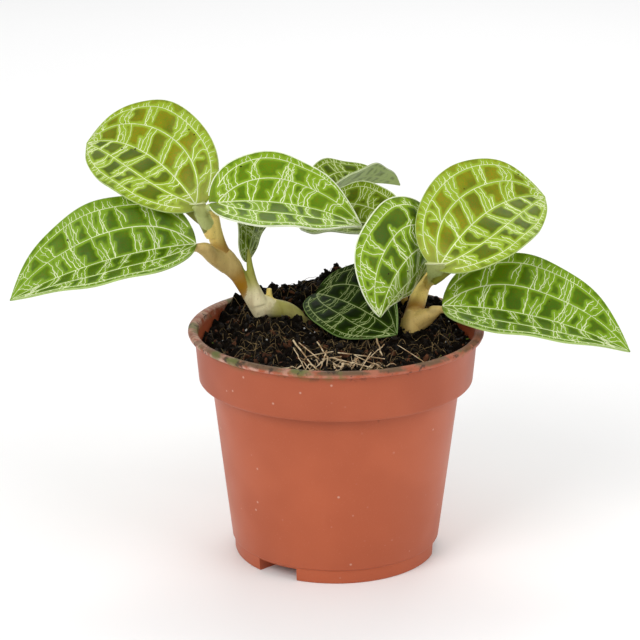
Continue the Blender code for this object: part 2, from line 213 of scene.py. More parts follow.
def buildStage():
    data = bpy.data.cameras.new("camera")
    camera = bpy.data.objects.new("camera", data)
    bpy.context.collection.objects.link(camera)
    data.lens, data.sensor_width = stage["lens"], 36.0
    data.clip_start = 0.01
    camera.location = [value * mm for value in stage["camera"]]
    camera.rotation_euler = (math.pi / 2 - stage["down"], 0.0, 0.0)
    bpy.context.scene.camera = camera
    for number, (place, size, power) in enumerate(stage["lights"]):
        lamp = bpy.data.lights.new("softLight%d" % number, "AREA")
        lamp.size, lamp.energy = size, power
        holder = bpy.data.objects.new(lamp.name, lamp)
        holder.location = place
        holder.rotation_euler = (Vector((0, 0, 0.08)) - Vector(place)).to_track_quat("-Z", "Y").to_euler()
        bpy.context.collection.objects.link(holder)
    world = bpy.data.worlds.new("paleRoom")
    bpy.context.scene.world = world
    world.use_nodes = True
    back = world.node_tree.nodes["Background"]
    back.inputs["Color"].default_value = (1.0, 1.0, 1.0, 1.0)
    back.inputs["Strength"].default_value = stage["sky"]
    bpy.context.scene.view_settings.view_transform = "Standard"
    deselectAll()
    bpy.ops.mesh.primitive_plane_add(size=6.0, location=(0, 0, 0))
    floor = bpy.context.object
    floor.name = "floor"
    made, tree, shader = newMaterial("paleFloor", 0.9, 0.1)
    cloud = grain(tree, objectCoordinates(tree), 3.0)
    tone = blendColours(tree, cloud, stage["floor"], tuple(v * 1.03 for v in stage["floor"]))
    tree.links.new(tone, shader.inputs["Base Color"])
    floor.data.materials.append(made)
    print("stage ready")


# ---- pot
pot = {
    "steps": 168, "height": 71.7, "footRadius": 31.3, "footHeight": 4.4,
    "bodyBottom": 32.1, "bodyTop": 38.0, "collarBottom": 55.4,
    "collarLow": 41.9, "collarHigh": 43.0, "lip": 45.0, "lipHeight": 2.2,
    "wall": 0.9, "floor": 1.2, "floorRadius": 29.9,
    "channelAngles": (-125.0, -5.0, 115.0), "channelHeight": 4.0, "channelInner": 10.0,
    "innerHalf": 3.0, "outerHalf": 7.0, "roof": 1.1, "holeRadius": 2.6, "holePlace": 20.0,
    "plastic": (0.435, 0.100, 0.040), "worn": (0.50, 0.17, 0.09), "deep": (0.395, 0.088, 0.035),
    "dirt": (0.030, 0.017, 0.010), "algae": (0.10, 0.13, 0.03), "chalk": (0.66, 0.45, 0.36),
    "stain": (0.115, 0.068, 0.034),
}


def potProfile():
    p = pot
    top = p["height"]
    under = top - p["lipHeight"]
    low, high, wall = p["collarLow"], p["collarHigh"], p["wall"]
    step = p["collarBottom"]
    outer = [(0.0, 0.0), (p["footRadius"] - 0.5, 0.0), (p["footRadius"] - 0.15, 0.12),
             (p["footRadius"], 0.5), (p["footRadius"] + 0.22, p["footHeight"] - 0.1),
             (p["footRadius"] + 0.35, p["footHeight"] + 0.05), (p["bodyBottom"] - 0.1, p["footHeight"] + 0.3),
             (p["bodyBottom"] + 0.04, p["footHeight"] + 0.6)]
    for share in (0.25, 0.5, 0.75, 0.93):
        outer.append((p["bodyBottom"] + (p["bodyTop"] - p["bodyBottom"]) * share,
                      p["footHeight"] + (step - 0.5 - p["footHeight"]) * share))
    outer += [(p["bodyTop"], step - 0.9), (p["bodyTop"] + 0.12, step - 0.35), (p["bodyTop"] + 0.5, step - 0.05),
              (p["bodyTop"] + 1.2, step), (low - 1.0, step), (low - 0.35, step + 0.12), (low - 0.05, step + 0.5),
              (low + 0.02, step + 1.1), (low + (high - low) * 0.5, step + 7.2), (high - 0.08, under - 0.9),
              (high + 0.12, under - 0.25), (high + 0.6, under), (p["lip"] - 0.75, under + 0.08),
              (p["lip"] - 0.25, under + 0.4), (p["lip"], under + 1.0), (p["lip"] - 0.05, under + 1.5),
              (p["lip"] - 0.4, top - 0.25), (p["lip"] - 0.9, top - 0.02), (high + 0.4, top),
              (high - 0.2, top - 0.2), (high - wall + 0.15, top - 0.7), (high - wall, top - 1.6),
              (low - wall, step + 1.6), (low - wall - 0.3, step + wall + 0.2), (low - wall - 1.0, step + wall),
              (p["bodyTop"] - wall + 0.4, step + wall), (p["bodyTop"] - wall, step + 0.2),
              (p["floorRadius"], p["floor"]), (0.0, p["floor"])]
    return outer


def spunShell(name, profile, steps):
    # one vertex, drawn out along the profile, then spun round the axis
    deselectAll()
    bpy.ops.mesh.primitive_plane_add(size=0.001, location=(0, 0, 0))
    shell = bpy.context.object
    shell.name = name
    editStart(shell)
    bpy.ops.mesh.merge(type="CENTER")
    start = Vector((profile[0][0], 0.0, profile[0][1])) * mm
    bpy.ops.transform.translate(value=start)
    for (r0, z0), (r1, z1) in zip(profile, profile[1:]):
        bpy.ops.mesh.extrude_vertices_move(TRANSFORM_OT_translate={"value": ((r1 - r0) * mm, 0.0, (z1 - z0) * mm)})
    bpy.ops.mesh.select_all(action="SELECT")
    bpy.ops.mesh.spin(steps=steps, angle=2 * math.pi, center=(0, 0, 0), axis=(0, 0, 1))
    bpy.ops.mesh.select_all(action="SELECT")
    bpy.ops.mesh.remove_doubles(threshold=0.00001)
    bpy.ops.mesh.normals_make_consistent(inside=False)
    editEnd()
    return shell


def cutWith(obj, tool, kind="DIFFERENCE"):
    step = obj.modifiers.new("cut", "BOOLEAN")
    step.operation, step.solver, step.object = kind, "EXACT", tool
    makeActive(obj)
    bpy.ops.object.modifier_apply(modifier=step.name)
    bpy.data.objects.remove(tool, do_unlink=True)


def channelBlock(angle, inner, outer, margin, bottom, top):
    slope = (pot["outerHalf"] - pot["innerHalf"]) / (pot["footRadius"] - pot["channelInner"])
    deselectAll()
    bpy.ops.mesh.primitive_cube_add(size=1.0, location=(0, 0, 0))
    block = bpy.context.object
    for corner in block.data.vertices:
        x = inner if corner.co.x < 0 else outer
        half = pot["innerHalf"] + slope * (x - pot["channelInner"]) + margin
        y = -half if corner.co.y < 0 else half
        z = bottom if corner.co.z < 0 else top
        corner.co = Vector((x, y, z)) * mm
    block.rotation_euler = (0, 0, math.radians(angle))
    settle(block)
    return block


def potPlastic():
    p = pot
    made, tree, shader = newMaterial("terracottaPlastic", 0.42, 0.28)
    place = objectCoordinates(tree)
    split = addNode(tree, "ShaderNodeSeparateXYZ")
    tree.links.new(place, split.inputs[0])
    height = split.outputs["Z"]
    broad = grain(tree, place, 38.0, 2.0)
    fine = grain(tree, place, 2600.0, 2.0)
    tone = blendColours(tree, window(tree, broad, 0.35, 0.65), p["plastic"], p["deep"])
    tone = blendColours(tree, window(tree, fine, 0.62, 0.74, 0.0, 0.35), tone, p["worn"])
    shaded = blendColours(tree, 1.0, tone, (0.88, 0.86, 0.86), "MULTIPLY")
    tone = blendColours(tree, window(tree, height, 0.052, 0.057), tone, shaded)
    # pale patches on the lip, stronger towards the left
    paleLipPatch = calculate(tree, "MULTIPLY", window(tree, height, 0.0688, 0.0702),
                      window(tree, grain(tree, place, 420.0), 0.36, 0.6))
    left = window(tree, split.outputs["X"], 0.010, -0.040, 0.15, 0.75)
    tone = blendColours(tree, calculate(tree, "MULTIPLY", paleLipPatch, left), tone, p["chalk"])
    stained = calculate(tree, "MULTIPLY", window(tree, height, 0.0703, 0.0712),
                        window(tree, grain(tree, place, 190.0, 4.0, 0.6), 0.38, 0.54, 0.25, 0.95))
    stained = calculate(tree, "MULTIPLY", stained, window(tree, split.outputs["Y"], 0.010, -0.036, 0.35, 1.0))
    tone = blendColours(tree, stained, tone, p["stain"])
    # algae and soil caught on and under the lip
    band = window(tree, height, 0.0672, 0.0706)
    green = calculate(tree, "MULTIPLY", band, window(tree, grain(tree, place, 85.0, 4.0), 0.52, 0.62))
    tone = blendColours(tree, calculate(tree, "MULTIPLY", green, 0.75), tone, p["algae"])
    soiled = calculate(tree, "MULTIPLY", band, window(tree, grain(tree, place, 300.0, 5.0, 0.7), 0.55, 0.62))
    tone = blendColours(tree, calculate(tree, "MULTIPLY", soiled, 0.8), tone, p["dirt"])
    # sparse pale dust and dark grit, thicker towards the collar
    dots = addNode(tree, "ShaderNodeTexVoronoi", feature="F1")
    tree.links.new(place, dots.inputs["Vector"])
    dots.inputs["Scale"].default_value = 260.0
    seeds = grain(tree, place, 60.0, 3.0)
    near = window(tree, dots.outputs["Distance"], 0.05, 0.13, 1.0, 0.0)
    dust = calculate(tree, "MULTIPLY", near, window(tree, seeds, 0.52, 0.62))
    tone = blendColours(tree, calculate(tree, "MULTIPLY", dust, 0.5), tone, p["chalk"])
    grit = addNode(tree, "ShaderNodeTexVoronoi", feature="F1")
    shifted = addNode(tree, "ShaderNodeMapping")
    shifted.inputs["Location"].default_value = (3.1, 1.7, 0.4)
    shifted.inputs["Scale"].default_value = (1.0, 1.0, 0.55)
    tree.links.new(place, shifted.inputs["Vector"])
    tree.links.new(shifted.outputs[0], grit.inputs["Vector"])
    grit.inputs["Scale"].default_value = 170.0
    speck = window(tree, grit.outputs["Distance"], 0.03, 0.08, 1.0, 0.0)
    where = calculate(tree, "MULTIPLY", window(tree, height, 0.045, 0.072), window(tree, seeds, 0.42, 0.55, 1.0, 0.0))
    tone = blendColours(tree, calculate(tree, "MULTIPLY", speck, where), tone, p["dirt"])
    tree.links.new(tone, shader.inputs["Base Color"])
    rough = calculate(tree, "ADD", window(tree, broad, 0.3, 0.7, 0.38, 0.50), calculate(tree, "MULTIPLY", paleLipPatch, 0.25))
    tree.links.new(rough, shader.inputs["Roughness"])
    addBump(tree, shader, fine, 0.15, 0.0001)
    return made


def buildPot():
    shell = spunShell("potShell", potProfile(), pot["steps"])
    roof = pot["channelHeight"] + pot["roof"]
    for angle in pot["channelAngles"]:
        cover = channelBlock(angle, pot["channelInner"] - pot["roof"], pot["floorRadius"] + 0.3,
                             pot["roof"], pot["floor"] / 2, roof)
        cutWith(shell, cover, "UNION")
    for angle in pot["channelAngles"]:
        cutWith(shell, channelBlock(angle, pot["channelInner"], pot["footRadius"] + 3.0, 0.0,
                                    -1.0, pot["channelHeight"]))
        turn = math.radians(angle)
        deselectAll()
        bpy.ops.mesh.primitive_cylinder_add(
            vertices=28, radius=pot["holeRadius"] * mm, depth=4 * mm,
            location=(math.cos(turn) * pot["holePlace"] * mm, math.sin(turn) * pot["holePlace"] * mm, roof * mm))
        hole = bpy.context.object
        settle(hole)
        cutWith(shell, hole)
    smoothShade(shell, 32)
    shell.data.materials.clear()
    shell.data.materials.append(potPlastic())
    handOver(shell, ["pot"])
    print("pot ready")


# ---- soil
soil = {
    "level": 67.0, "radius": 41.4, "cells": 190, "bottom": 60.0,
    "heaps": ((-18.0, 9.0, 7.5, 4.0), (24.0, 4.0, 7.0, 2.6), (1.0, 32.5, 4.6, 6.2), (-13.0, 35.0, 6.5, -2.2),
              (-3.0, 20.0, 5.0, -2.4), (3.0, 0.0, 6.0, -0.8), (27.0, 27.0, 6.0, 1.5), (0.0, -36.0, 16.0, 1.6)),
    "backHeap": (13.0, 21.0, 7.6), "sideDip": 1.4, "relief": 0.55,
    "dark": (0.0022, 0.0015, 0.0010), "brown": (0.0120, 0.0068, 0.0034),
    "bark": (0.135, 0.052, 0.024), "barkDark": (0.050, 0.022, 0.012),
    "straw": (0.80, 0.63, 0.40), "strawDark": (0.36, 0.20, 0.09), "root": (0.34, 0.23, 0.10),
    "rootDark": (0.09, 0.055, 0.022),
    "white": (0.62, 0.62, 0.60), "moss": (0.09, 0.14, 0.02),
    "crumbs": 2800, "chips": 320, "roots": 380, "straws": 20, "sticks": 14, "pebbles": 70, "mossBits": 60,
    "placed": (  # straws that stand out in the photo: start x and y, end x and y, radius
        (-13.0, -10.7, -6.0, -36.3, 0.34), (-12.6, -18.4, -9.2, -36.3, 0.20),
        (-5.8, -10.7, 0.1, -36.3, 0.26), (11.6, 1.2, 13.5, -21.6, 0.32),
        (-2.8, -23.1, -4.8, -37.2, 0.22), (14.3, -13.6, 8.6, -28.1, 0.20),
        (0.4, -24.0, 13.9, -28.1, 0.18), (-1.9, -30.5, 10.2, -38.1, 0.20),
        (4.6, -25.0, 13.4, -36.3, 0.18)),
}


def soilHeight(x, y):
    start, run, rise = soil["backHeap"]
    level = soil["level"] + rise * ease((y - start) / run) * (1 - 0.2 * ease(x / 30))
    level = level - soil["sideDip"] * ease((np.abs(x) - 26) / 14) * (1 - ease((y - 8) / 14))
    for heapX, heapY, spread, lift in soil["heaps"]:
        level = level + lift * np.exp(-((x - heapX) ** 2 + (y - heapY) ** 2) / (2 * spread ** 2))
    crumbs = np.sin(1.27 * x + 0.4 * y) + np.sin(1.09 * y - 0.7 * x + 1.3) + np.sin(0.83 * x + 1.41 * y + 2.6)
    return level + soil["relief"] * crumbs


def roughLift(x, y):  # clods and crumbs, in millimetres
    clod = noise.fractal(Vector((x * 0.16, y * 0.16, 3.0)), 0.7, 2.1, 4)
    crumb = noise.fractal(Vector((x * 0.75, y * 0.75, 9.0)), 0.8, 2.2, 3)
    return 1.25 * clod + 0.62 * crumb


def soilSurface():
    deselectAll()
    bpy.ops.mesh.primitive_grid_add(x_subdivisions=soil["cells"], y_subdivisions=soil["cells"],
                                    size=2 * soil["radius"] * mm, location=(0, 0, 0))
    ground = bpy.context.object
    ground.name = "soilGround"
    # square grid pulled to a disc, so that its edge is round
    spots = np.empty(len(ground.data.vertices) * 3)
    ground.data.vertices.foreach_get("co", spots)
    spots = spots.reshape(-1, 3) / mm
    x, y = spots[:, 0] / soil["radius"], spots[:, 1] / soil["radius"]
    discX, discY = x * np.sqrt(1 - y * y / 2), y * np.sqrt(1 - x * x / 2)
    px, py = discX * soil["radius"], discY * soil["radius"]
    lift = np.array([roughLift(a, b) for a, b in zip(px, py)])
    edge = ease((soil["radius"] - np.hypot(px, py)) / 3.0)
    z = soilHeight(px, py) + lift * (0.35 + 0.65 * edge)
    z = np.minimum(z, leafFloor(px, py))
    ground.data.vertices.foreach_set("co", (np.c_[px, py, z] * mm).ravel())
    editStart(ground)
    bpy.ops.mesh.region_to_loop()
    bpy.ops.mesh.extrude_region_move(TRANSFORM_OT_translate={"value": (0, 0, -9 * mm)})
    bpy.ops.transform.resize(value=(0.97, 0.97, 1.0), center_override=(0, 0, 0.06))
    bpy.ops.mesh.edge_face_add()
    bpy.ops.mesh.select_all(action="SELECT")
    bpy.ops.mesh.normals_make_consistent(inside=False)
    editEnd()
    smoothShade(ground, 80)
    return ground


def leafFloor(x, y):  # keeps the ground under the leaf that lies on it
    inside = np.exp(-(((x - 3) / 14) ** 2 + ((y - 10) / 17) ** 2) ** 3)
    return 200 - inside * (200 - (69.0 + 0.13 * np.maximum(y, -6) + 0.1 * x))


def soilFinish(name, first, second, scale, roughness=0.9, gloss=0.08):
    made, tree, shader = newMaterial(name, roughness, gloss)
    place = objectCoordinates(tree)
    tone = blendColours(tree, window(tree, grain(tree, place, scale, 4.0, 0.65), 0.4, 0.62), first, second)
    fine = grain(tree, place, scale * 6.0, 3.0, 0.7)
    tone = blendColours(tree, window(tree, fine, 0.3, 0.7, 0.0, 0.6), tone, tuple(v * 0.35 for v in first))
    tree.links.new(tone, shader.inputs["Base Color"])
    addBump(tree, shader, fine, 0.6, 0.0003)
    return made


def lumpShape(seed, squash):
    deselectAll()
    bpy.ops.mesh.primitive_ico_sphere_add(subdivisions=1, radius=1.0, location=(0, 0, 0))
    lump = bpy.context.object
    points = np.array([tuple(v.co) for v in lump.data.vertices])
    faces = np.array([tuple(f.vertices) for f in lump.data.polygons])
    bpy.data.objects.remove(lump, do_unlink=True)
    draw = np.random.default_rng(seed)
    points *= 1 + draw.uniform(-0.32, 0.32, (len(points), 1))
    return points * np.array(squash), faces


def scatterLumps(name, count, seed, sizes, squash, sink, region=None):
    draw = np.random.default_rng(seed)
    points, faces, offset = [], [], 0
    shapes = [lumpShape(seed + k, squash) for k in range(4)]
    while len(points) < count:
        radius, angle = soil["radius"] * 0.985 * math.sqrt(draw.uniform()), draw.uniform(0, 2 * math.pi)
        x, y = radius * math.cos(angle), radius * math.sin(angle)
        if region and not region(x, y):
            continue
        size = sizes[0] + (sizes[1] - sizes[0]) * draw.uniform() ** 2.2
        if radius + size > soil["radius"]:
            continue
        z = float(min(soilHeight(x, y) + roughLift(x, y), leafFloor(x, y) - size)) - sink * size
        shape, sides = shapes[draw.integers(4)]
        turn = Euler(draw.uniform(0, 6.28, 3)).to_matrix()
        points.append(shape @ np.array(turn).T * size + (x, y, z))
        faces.append(sides + offset)
        offset += len(shape)
    return meshFrom(name, np.vstack(points) * mm, np.vstack(faces).tolist())


def strand(points, radii, sides=4):
    # slim closed tube along a bent line, in millimetres
    points = np.asarray(points, float)
    run = np.gradient(points, axis=0)
    run /= np.linalg.norm(run, axis=1)[:, None] + 1e-9
    side = np.cross(run, (0.13, 0.21, 0.97))
    side /= np.linalg.norm(side, axis=1)[:, None] + 1e-9
    other = np.cross(run, side)
    rings = []
    for k in range(sides):
        angle = 2 * math.pi * k / sides
        rings.append(points + (side * math.cos(angle) + other * math.sin(angle)) * np.asarray(radii)[:, None])
    verts = np.stack(rings, axis=1).reshape(-1, 3)
    count = len(points)
    faces = []
    for i in range(count - 1):
        for k in range(sides):
            after = (k + 1) % sides
            faces.append((i * sides + k, i * sides + after, (i + 1) * sides + after, (i + 1) * sides + k))
    faces.append(tuple(range(sides))[::-1])
    faces.append(tuple((count - 1) * sides + k for k in range(sides)))
    return verts, faces


def gather(name, strands):
    points, faces, offset = [], [], 0
    for verts, sides in strands:
        points.append(verts)
        faces += [tuple(i + offset for i in face) for face in sides]
        offset += len(verts)
    return meshFrom(name, np.vstack(points) * mm, faces)


def fibre(draw, x, y, length, radius, arch, curl, sideways=None):
    count = 9
    heading = draw.uniform(0, 2 * math.pi) if sideways is None else sideways + draw.normal(0, 0.5)
    spots, px, py = [], x, y
    for i in range(count):
        u = i / (count - 1)
        ground = float(min(soilHeight(px, py) + roughLift(px, py), leafFloor(px, py)))
        spots.append((px, py, ground + 0.1 + arch * math.sin(math.pi * min(u * 1.05, 1.0))))
        heading += draw.normal(0, curl)
        px += math.cos(heading) * length / (count - 1)
        py += math.sin(heading) * length / (count - 1)
        reach = math.hypot(px, py)
        if reach > soil["radius"] - 0.7:
            px, py = px * (soil["radius"] - 0.7) / reach, py * (soil["radius"] - 0.7) / reach
            heading += 0.9
    spots = np.array(spots)
    keep = [0] + [i for i in range(1, count) if np.linalg.norm(spots[i] - spots[i - 1]) > 0.05]
    spots = spots[keep]
    return strand(spots, radius * (1 - 0.55 * np.linspace(0, 1, len(spots)) ** 2))


def stick(draw, x, y):
    # stiff straw with one end in the peat
    heading, slope = draw.uniform(0, 2 * math.pi), math.radians(draw.uniform(0, 32))
    length, sag = draw.uniform(5, 13), draw.uniform(0.2, 1.0)
    u = np.linspace(-0.15, 1, 6)
    start = float(soilHeight(x, y)) + 0.6
    spots = np.c_[x + length * u * math.cos(heading) * math.cos(slope),
                  y + length * u * math.sin(heading) * math.cos(slope),
                  start + length * u * math.sin(slope) - sag * u * u]
    reach = np.hypot(spots[:, 0], spots[:, 1])
    spots[:, :2] *= np.minimum(1.0, (soil["radius"] - 1.2) / reach)[:, None]
    spots[:, 2] = np.maximum(spots[:, 2], soilHeight(spots[:, 0], spots[:, 1]) + 0.3)
    return strand(spots, draw.uniform(0.13, 0.32) * np.linspace(1.0, 0.7, 6))


def buildSoil():
    ground = soilSurface()
    ground.data.materials.append(soilFinish("peatDark", soil["dark"], soil["brown"], 900.0))
    crumbs = scatterLumps("soilCrumbs", soil["crumbs"], 11, (0.3, 1.5), (1.0, 0.8, 0.65), 0.15)
    crumbs.data.materials.append(soilFinish("peatCrumb", soil["brown"], soil["dark"], 500.0, 0.5, 0.11))
    chips = scatterLumps("barkChips", soil["chips"], 23, (0.7, 2.4), (1.0, 0.55, 0.28), 0.0)
    chips.data.materials.append(soilFinish("barkChip", soil["bark"], soil["barkDark"], 350.0, 0.75))
    white = scatterLumps("paleGrit", soil["pebbles"], 31, (0.2, 0.5), (1.0, 0.8, 0.7), -0.3)
    white.data.materials.append(soilFinish("paleGrit", soil["white"], tuple(v * 0.6 for v in soil["white"]), 700.0, 0.6))
    moss = scatterLumps("mossBits", soil["mossBits"], 37, (0.25, 0.7), (1.0, 0.5, 0.5), -0.2,
                        lambda x, y: math.hypot(x, y) > 33 and y < 5)
    moss.data.materials.append(soilFinish("mossBit", soil["moss"], tuple(v * 1.8 for v in soil["moss"]), 600.0, 0.8))
    draw = np.random.default_rng(41)
    roots = []
    for _ in range(soil["roots"]):
        radius, angle = 38 * math.sqrt(draw.uniform()), draw.uniform(0, 2 * math.pi)
        roots.append(fibre(draw, radius * math.cos(angle), radius * math.sin(angle), draw.uniform(2, 9.5),
                           draw.uniform(0.04, 0.10), draw.uniform(0.2, 1.8), draw.choice((0.05, 0.10, 0.2))))
    fineRoots = gather("soilRoots", roots)
    fineRoots.data.materials.append(soilFinish("dryRoot", soil["root"], soil["rootDark"], 300.0, 0.6, 0.2))
    straws = []
    for _ in range(soil["sticks"]):  # long stiff ones, most of them near the front
        straws.append(stick(draw, float(np.clip(draw.normal(2.0, 13.0), -27, 27)), -28.0 + draw.normal(0, 5.0)))
    for x0, y0, x1, y1, radius in soil["placed"]:
        spots = np.linspace((x0, y0, 0.0), (x1, y1, 0.0), 7)
        spots[:, :2] += draw.normal(0, 0.12, (7, 2))
        spots[:, 2] = np.max(soilHeight(spots[:, 0], spots[:, 1])) + np.linspace(1.3, 0.8, 7)
        straws.append(strand(spots, radius * np.linspace(1.0, 0.75, 7)))
    for _ in range(soil["straws"]):
        x = draw.normal(4.0, 7.0)
        y = -38.0 + abs(draw.normal(0, 4.5))
        straws.append(fibre(draw, x, y, draw.uniform(5, 12), draw.uniform(0.12, 0.30), draw.uniform(0.4, 1.8), 0.06,
                            draw.choice((0.2, 3.0, 1.2, 2.2))))
    strawPieces = gather("soilStraw", straws)
    strawPieces.data.materials.append(soilFinish("dryStraw", soil["straw"], soil["strawDark"], 260.0, 0.6))
    for piece in (crumbs, chips, white, moss, fineRoots, strawPieces):
        handOver(piece, ())
    handOver(ground, ["soil"])
    print("soil ready")


# ---- leaves
leafShapes = {
    "leaf_left_upper": dict(
        base=(-42.5, 4.5, 108.6), turn=138, rise=45, droop=65, sway=-3, roll=-36, twist=-6, length=53.0,
        half=18.0, widest=0.43, round=2.2, sharp=2.0, lobe=2.0, fold=17, curl=1, look="lime", seed=3),
    "leaf_left_lower": dict(
        base=(-42.2, 0.0, 97.3), turn=184, rise=-4, droop=23, sway=7, roll=-34, twist=11, length=58.5,
        half=19.5, widest=0.41, round=2.3, sharp=2.1, lobe=0.0, fold=24, curl=5, look="green", seed=5),
    "leaf_left_front": dict(
        base=(-34.9, -3.5, 111.0), turn=4, rise=5, droop=33, sway=7, roll=28, twist=-3, length=44.5,
        half=17.7, widest=0.40, round=2.3, sharp=2.0, lobe=3.0, fold=18, curl=1, look="edged", seed=7),
    "leaf_left_small": dict(
        base=(-27.4, 12.4, 88.6), turn=61, rise=69, droop=16, sway=-8, roll=-84, twist=-9, length=27.6,
        half=9.0, widest=0.50, round=1.35, sharp=2.0, lobe=0.5, fold=10, curl=-2, look="olive", seed=9, face=-1),
    "leaf_right_upper": dict(
        base=(31.0, -6.5, 92.3), turn=45, rise=46, droop=63, sway=0, roll=33, twist=7, length=52.5,
        half=18.0, widest=0.42, round=2.1, sharp=2.0, lobe=1.5, fold=18, curl=1, look="lime", seed=3, flip=True),
    "leaf_right_lower": dict(
        base=(32.4, 0.0, 77.8), turn=-7, rise=2, droop=27, sway=-5, roll=30, twist=-9, length=58.5,
        half=19.5, widest=0.40, round=2.1, sharp=2.0, lobe=0.0, fold=24, curl=4, look="green", seed=5, flip=True),
    "leaf_middle": dict(
        base=(29.7, 4.5, 96.7), turn=-128, rise=8, droop=81, sway=-1, roll=-86, twist=1, length=34.8,
        half=17.8, widest=0.41, round=2.3, sharp=2.1, lobe=5.0, fold=-10, curl=-31, look="edged", seed=17),
    "leaf_on_soil": dict(
        base=(-5.5, 26.0, 73.8), turn=-52, rise=7, droop=22, sway=-4, roll=31, twist=19, length=41.0,
        half=13.7, widest=0.51, round=2.2, sharp=2.4, lobe=1.0, fold=21, curl=3, look="dark", seed=19),
    "leaf_back_folded": dict(
        base=(-4.8, 39.0, 102.0), turn=60, rise=6, droop=23, sway=-20, roll=-1, twist=-3, length=41.8,
        half=11.9, widest=0.40, round=2.2, sharp=1.75, lobe=1.5, fold=40, curl=2, look="olive", seed=21),
    "leaf_back_dark": dict(
        base=(17.2, 12.0, 98.5), turn=140, rise=5, droop=24, sway=3, roll=-20, twist=-11, length=36.8,
        half=14.2, widest=0.46, round=2.2, sharp=2.1, lobe=2.0, fold=22, curl=4, look="olive", seed=23),
}
leafLooks = {  # patch on the near and far half, halo beside the veins, vein, edge line and its width
    "lime": dict(patch=(0.095, 0.160, 0.004), far=(0.190, 0.245, 0.003), halo=(0.295, 0.430, 0.026), young=0.6,
                 vein=(0.80, 0.86, 0.52), edge=(0.50, 0.62, 0.22), spread=1.35, edgeWidth=0.20, under=(0.40, 0.44, 0.15)),
    "green": dict(patch=(0.072, 0.165, 0.002), far=(0.078, 0.175, 0.002), halo=(0.190, 0.330, 0.012), young=0.15,
                  vein=(0.80, 0.86, 0.54), edge=(0.40, 0.54, 0.16), spread=1.00, edgeWidth=0.22, under=(0.36, 0.43, 0.18)),
    "edged": dict(patch=(0.078, 0.160, 0.006), far=(0.100, 0.215, 0.002), halo=(0.225, 0.370, 0.016), young=0.15,
                  vein=(0.82, 0.88, 0.56), edge=(0.78, 0.84, 0.60), spread=1.15, edgeWidth=0.46, under=(0.38, 0.47, 0.22)),
    "olive": dict(patch=(0.052, 0.096, 0.002), far=(0.062, 0.115, 0.002), halo=(0.165, 0.250, 0.010), young=0.1,
                  vein=(0.62, 0.70, 0.34), edge=(0.54, 0.62, 0.34), spread=1.10, edgeWidth=0.40, under=(0.23, 0.31, 0.09),
                  gloss=0.05),
    "dark": dict(patch=(0.007, 0.019, 0.001), far=(0.010, 0.025, 0.001), halo=(0.030, 0.062, 0.003), young=0.0,
                 vein=(0.43, 0.51, 0.21), edge=(0.20, 0.32, 0.08), spread=1.70, edgeWidth=0.26, under=(0.22, 0.30, 0.12),
                 gloss=0.04),
}
blade = {"alongCells": 132, "acrossCells": 76, "thick": 0.46, "soft": 0.05, "wave": 0.5, "gloss": 0.12,
         "puff": 0.26, "puffReach": 1.7, "veinLift": 0.055}


def leafAxes(leaf, t):
    slope = np.radians(leaf["rise"] - leaf["droop"] * t)
    heading = np.radians(leaf["turn"] + leaf["sway"] * t)
    tilt = np.radians(leaf["roll"] + leaf["twist"] * t)[:, None]
    forward = np.c_[np.cos(slope) * np.cos(heading), np.cos(slope) * np.sin(heading), np.sin(slope)]
    level = np.c_[-np.sin(heading), np.cos(heading), 0 * heading]
    upright = np.cross(forward, level)
    left = level * np.cos(tilt) + upright * np.sin(tilt)
    return forward, left, upright * np.cos(tilt) - level * np.sin(tilt)


def leafWidth(leaf, t):
    widest = leaf["widest"]
    rising = np.clip((widest - t) / widest, 0, 1)
    falling = np.clip((t - widest) / (1 - widest), 0, 1)
    return leaf["half"] * np.where(t < widest, np.sqrt(1 - rising ** leaf["round"]), 1 - falling ** leaf["sharp"])


def leafPoints(leaf, t, s):
    t, s = np.asarray(t, float), np.asarray(s, float)
    steps = (np.arange(240) + 0.5) / 240
    path = np.vstack([np.zeros(3), np.cumsum(leafAxes(leaf, steps)[0], axis=0) * leaf["length"] / 240])
    stops = np.linspace(0, 1, 241)
    place = np.stack([np.interp(t, stops, path[:, i]) for i in range(3)], axis=1) + np.array(leaf["base"])
    forward, left, upward = leafAxes(leaf, t)
    soft = blade["soft"]
    spread = np.sqrt(s * s + soft * soft) - soft  # the crease along the midrib is soft
    width = leafWidth(leaf, t)
    angle = np.radians(leaf["fold"] + leaf["curl"] * spread / 2)
    phase = np.where(s > 0, 2.1, 0.4)
    wave = blade["wave"] * s ** 2 * np.sin(np.pi * t) * np.sin(5 * np.pi * t + phase)
    place = place - forward * (leaf["lobe"] * s ** 2 * (1 - t) ** 2)[:, None]
    place = place + left * (width * s * np.cos(angle))[:, None]
    return place + upward * (width * spread * np.sin(angle) + wave)[:, None]


def leafNormals(leaf, t, s, step=0.006):
    t = np.clip(t, 0.002, 0.994)
    across = leafPoints(leaf, t, s + step) - leafPoints(leaf, t, s - step)
    along = leafPoints(leaf, t + step, s) - leafPoints(leaf, t - step / 4, s)
    normal = np.cross(along, across)
    return normal / (np.linalg.norm(normal, axis=1)[:, None] + 1e-12) * leaf.get("face", 1)


def longVein(offset, t, opening):  # a lengthwise vein, closer to the midrib at the base
    return offset * (opening + (1 - opening) * (1 - np.exp(-t / 0.10)))


def crossStrand(draw, leaf, first, second, x, slant, bend, start=0.0, end=1.0, jag=0.24, count=13):
    # one wiggly cross vein between two lengthwise ones
    u = np.linspace(start, end, count)
    drift = np.cumsum(draw.normal(0, jag, count)) * 0.6 + draw.normal(0, jag * 0.45, count)
    drift -= drift[0] + (drift[-1] - drift[0]) * np.linspace(0, 1, count) * 0.8
    along = x + slant * u + bend * 4 * u * (1 - u) + drift
    t = np.clip(along / leaf["length"], 0.01, 0.985)
    share = u + np.r_[0.0, draw.normal(0, 0.015, count - 2), 0.0]
    return np.c_[t, first(t) + (second(t) - first(t)) * share]


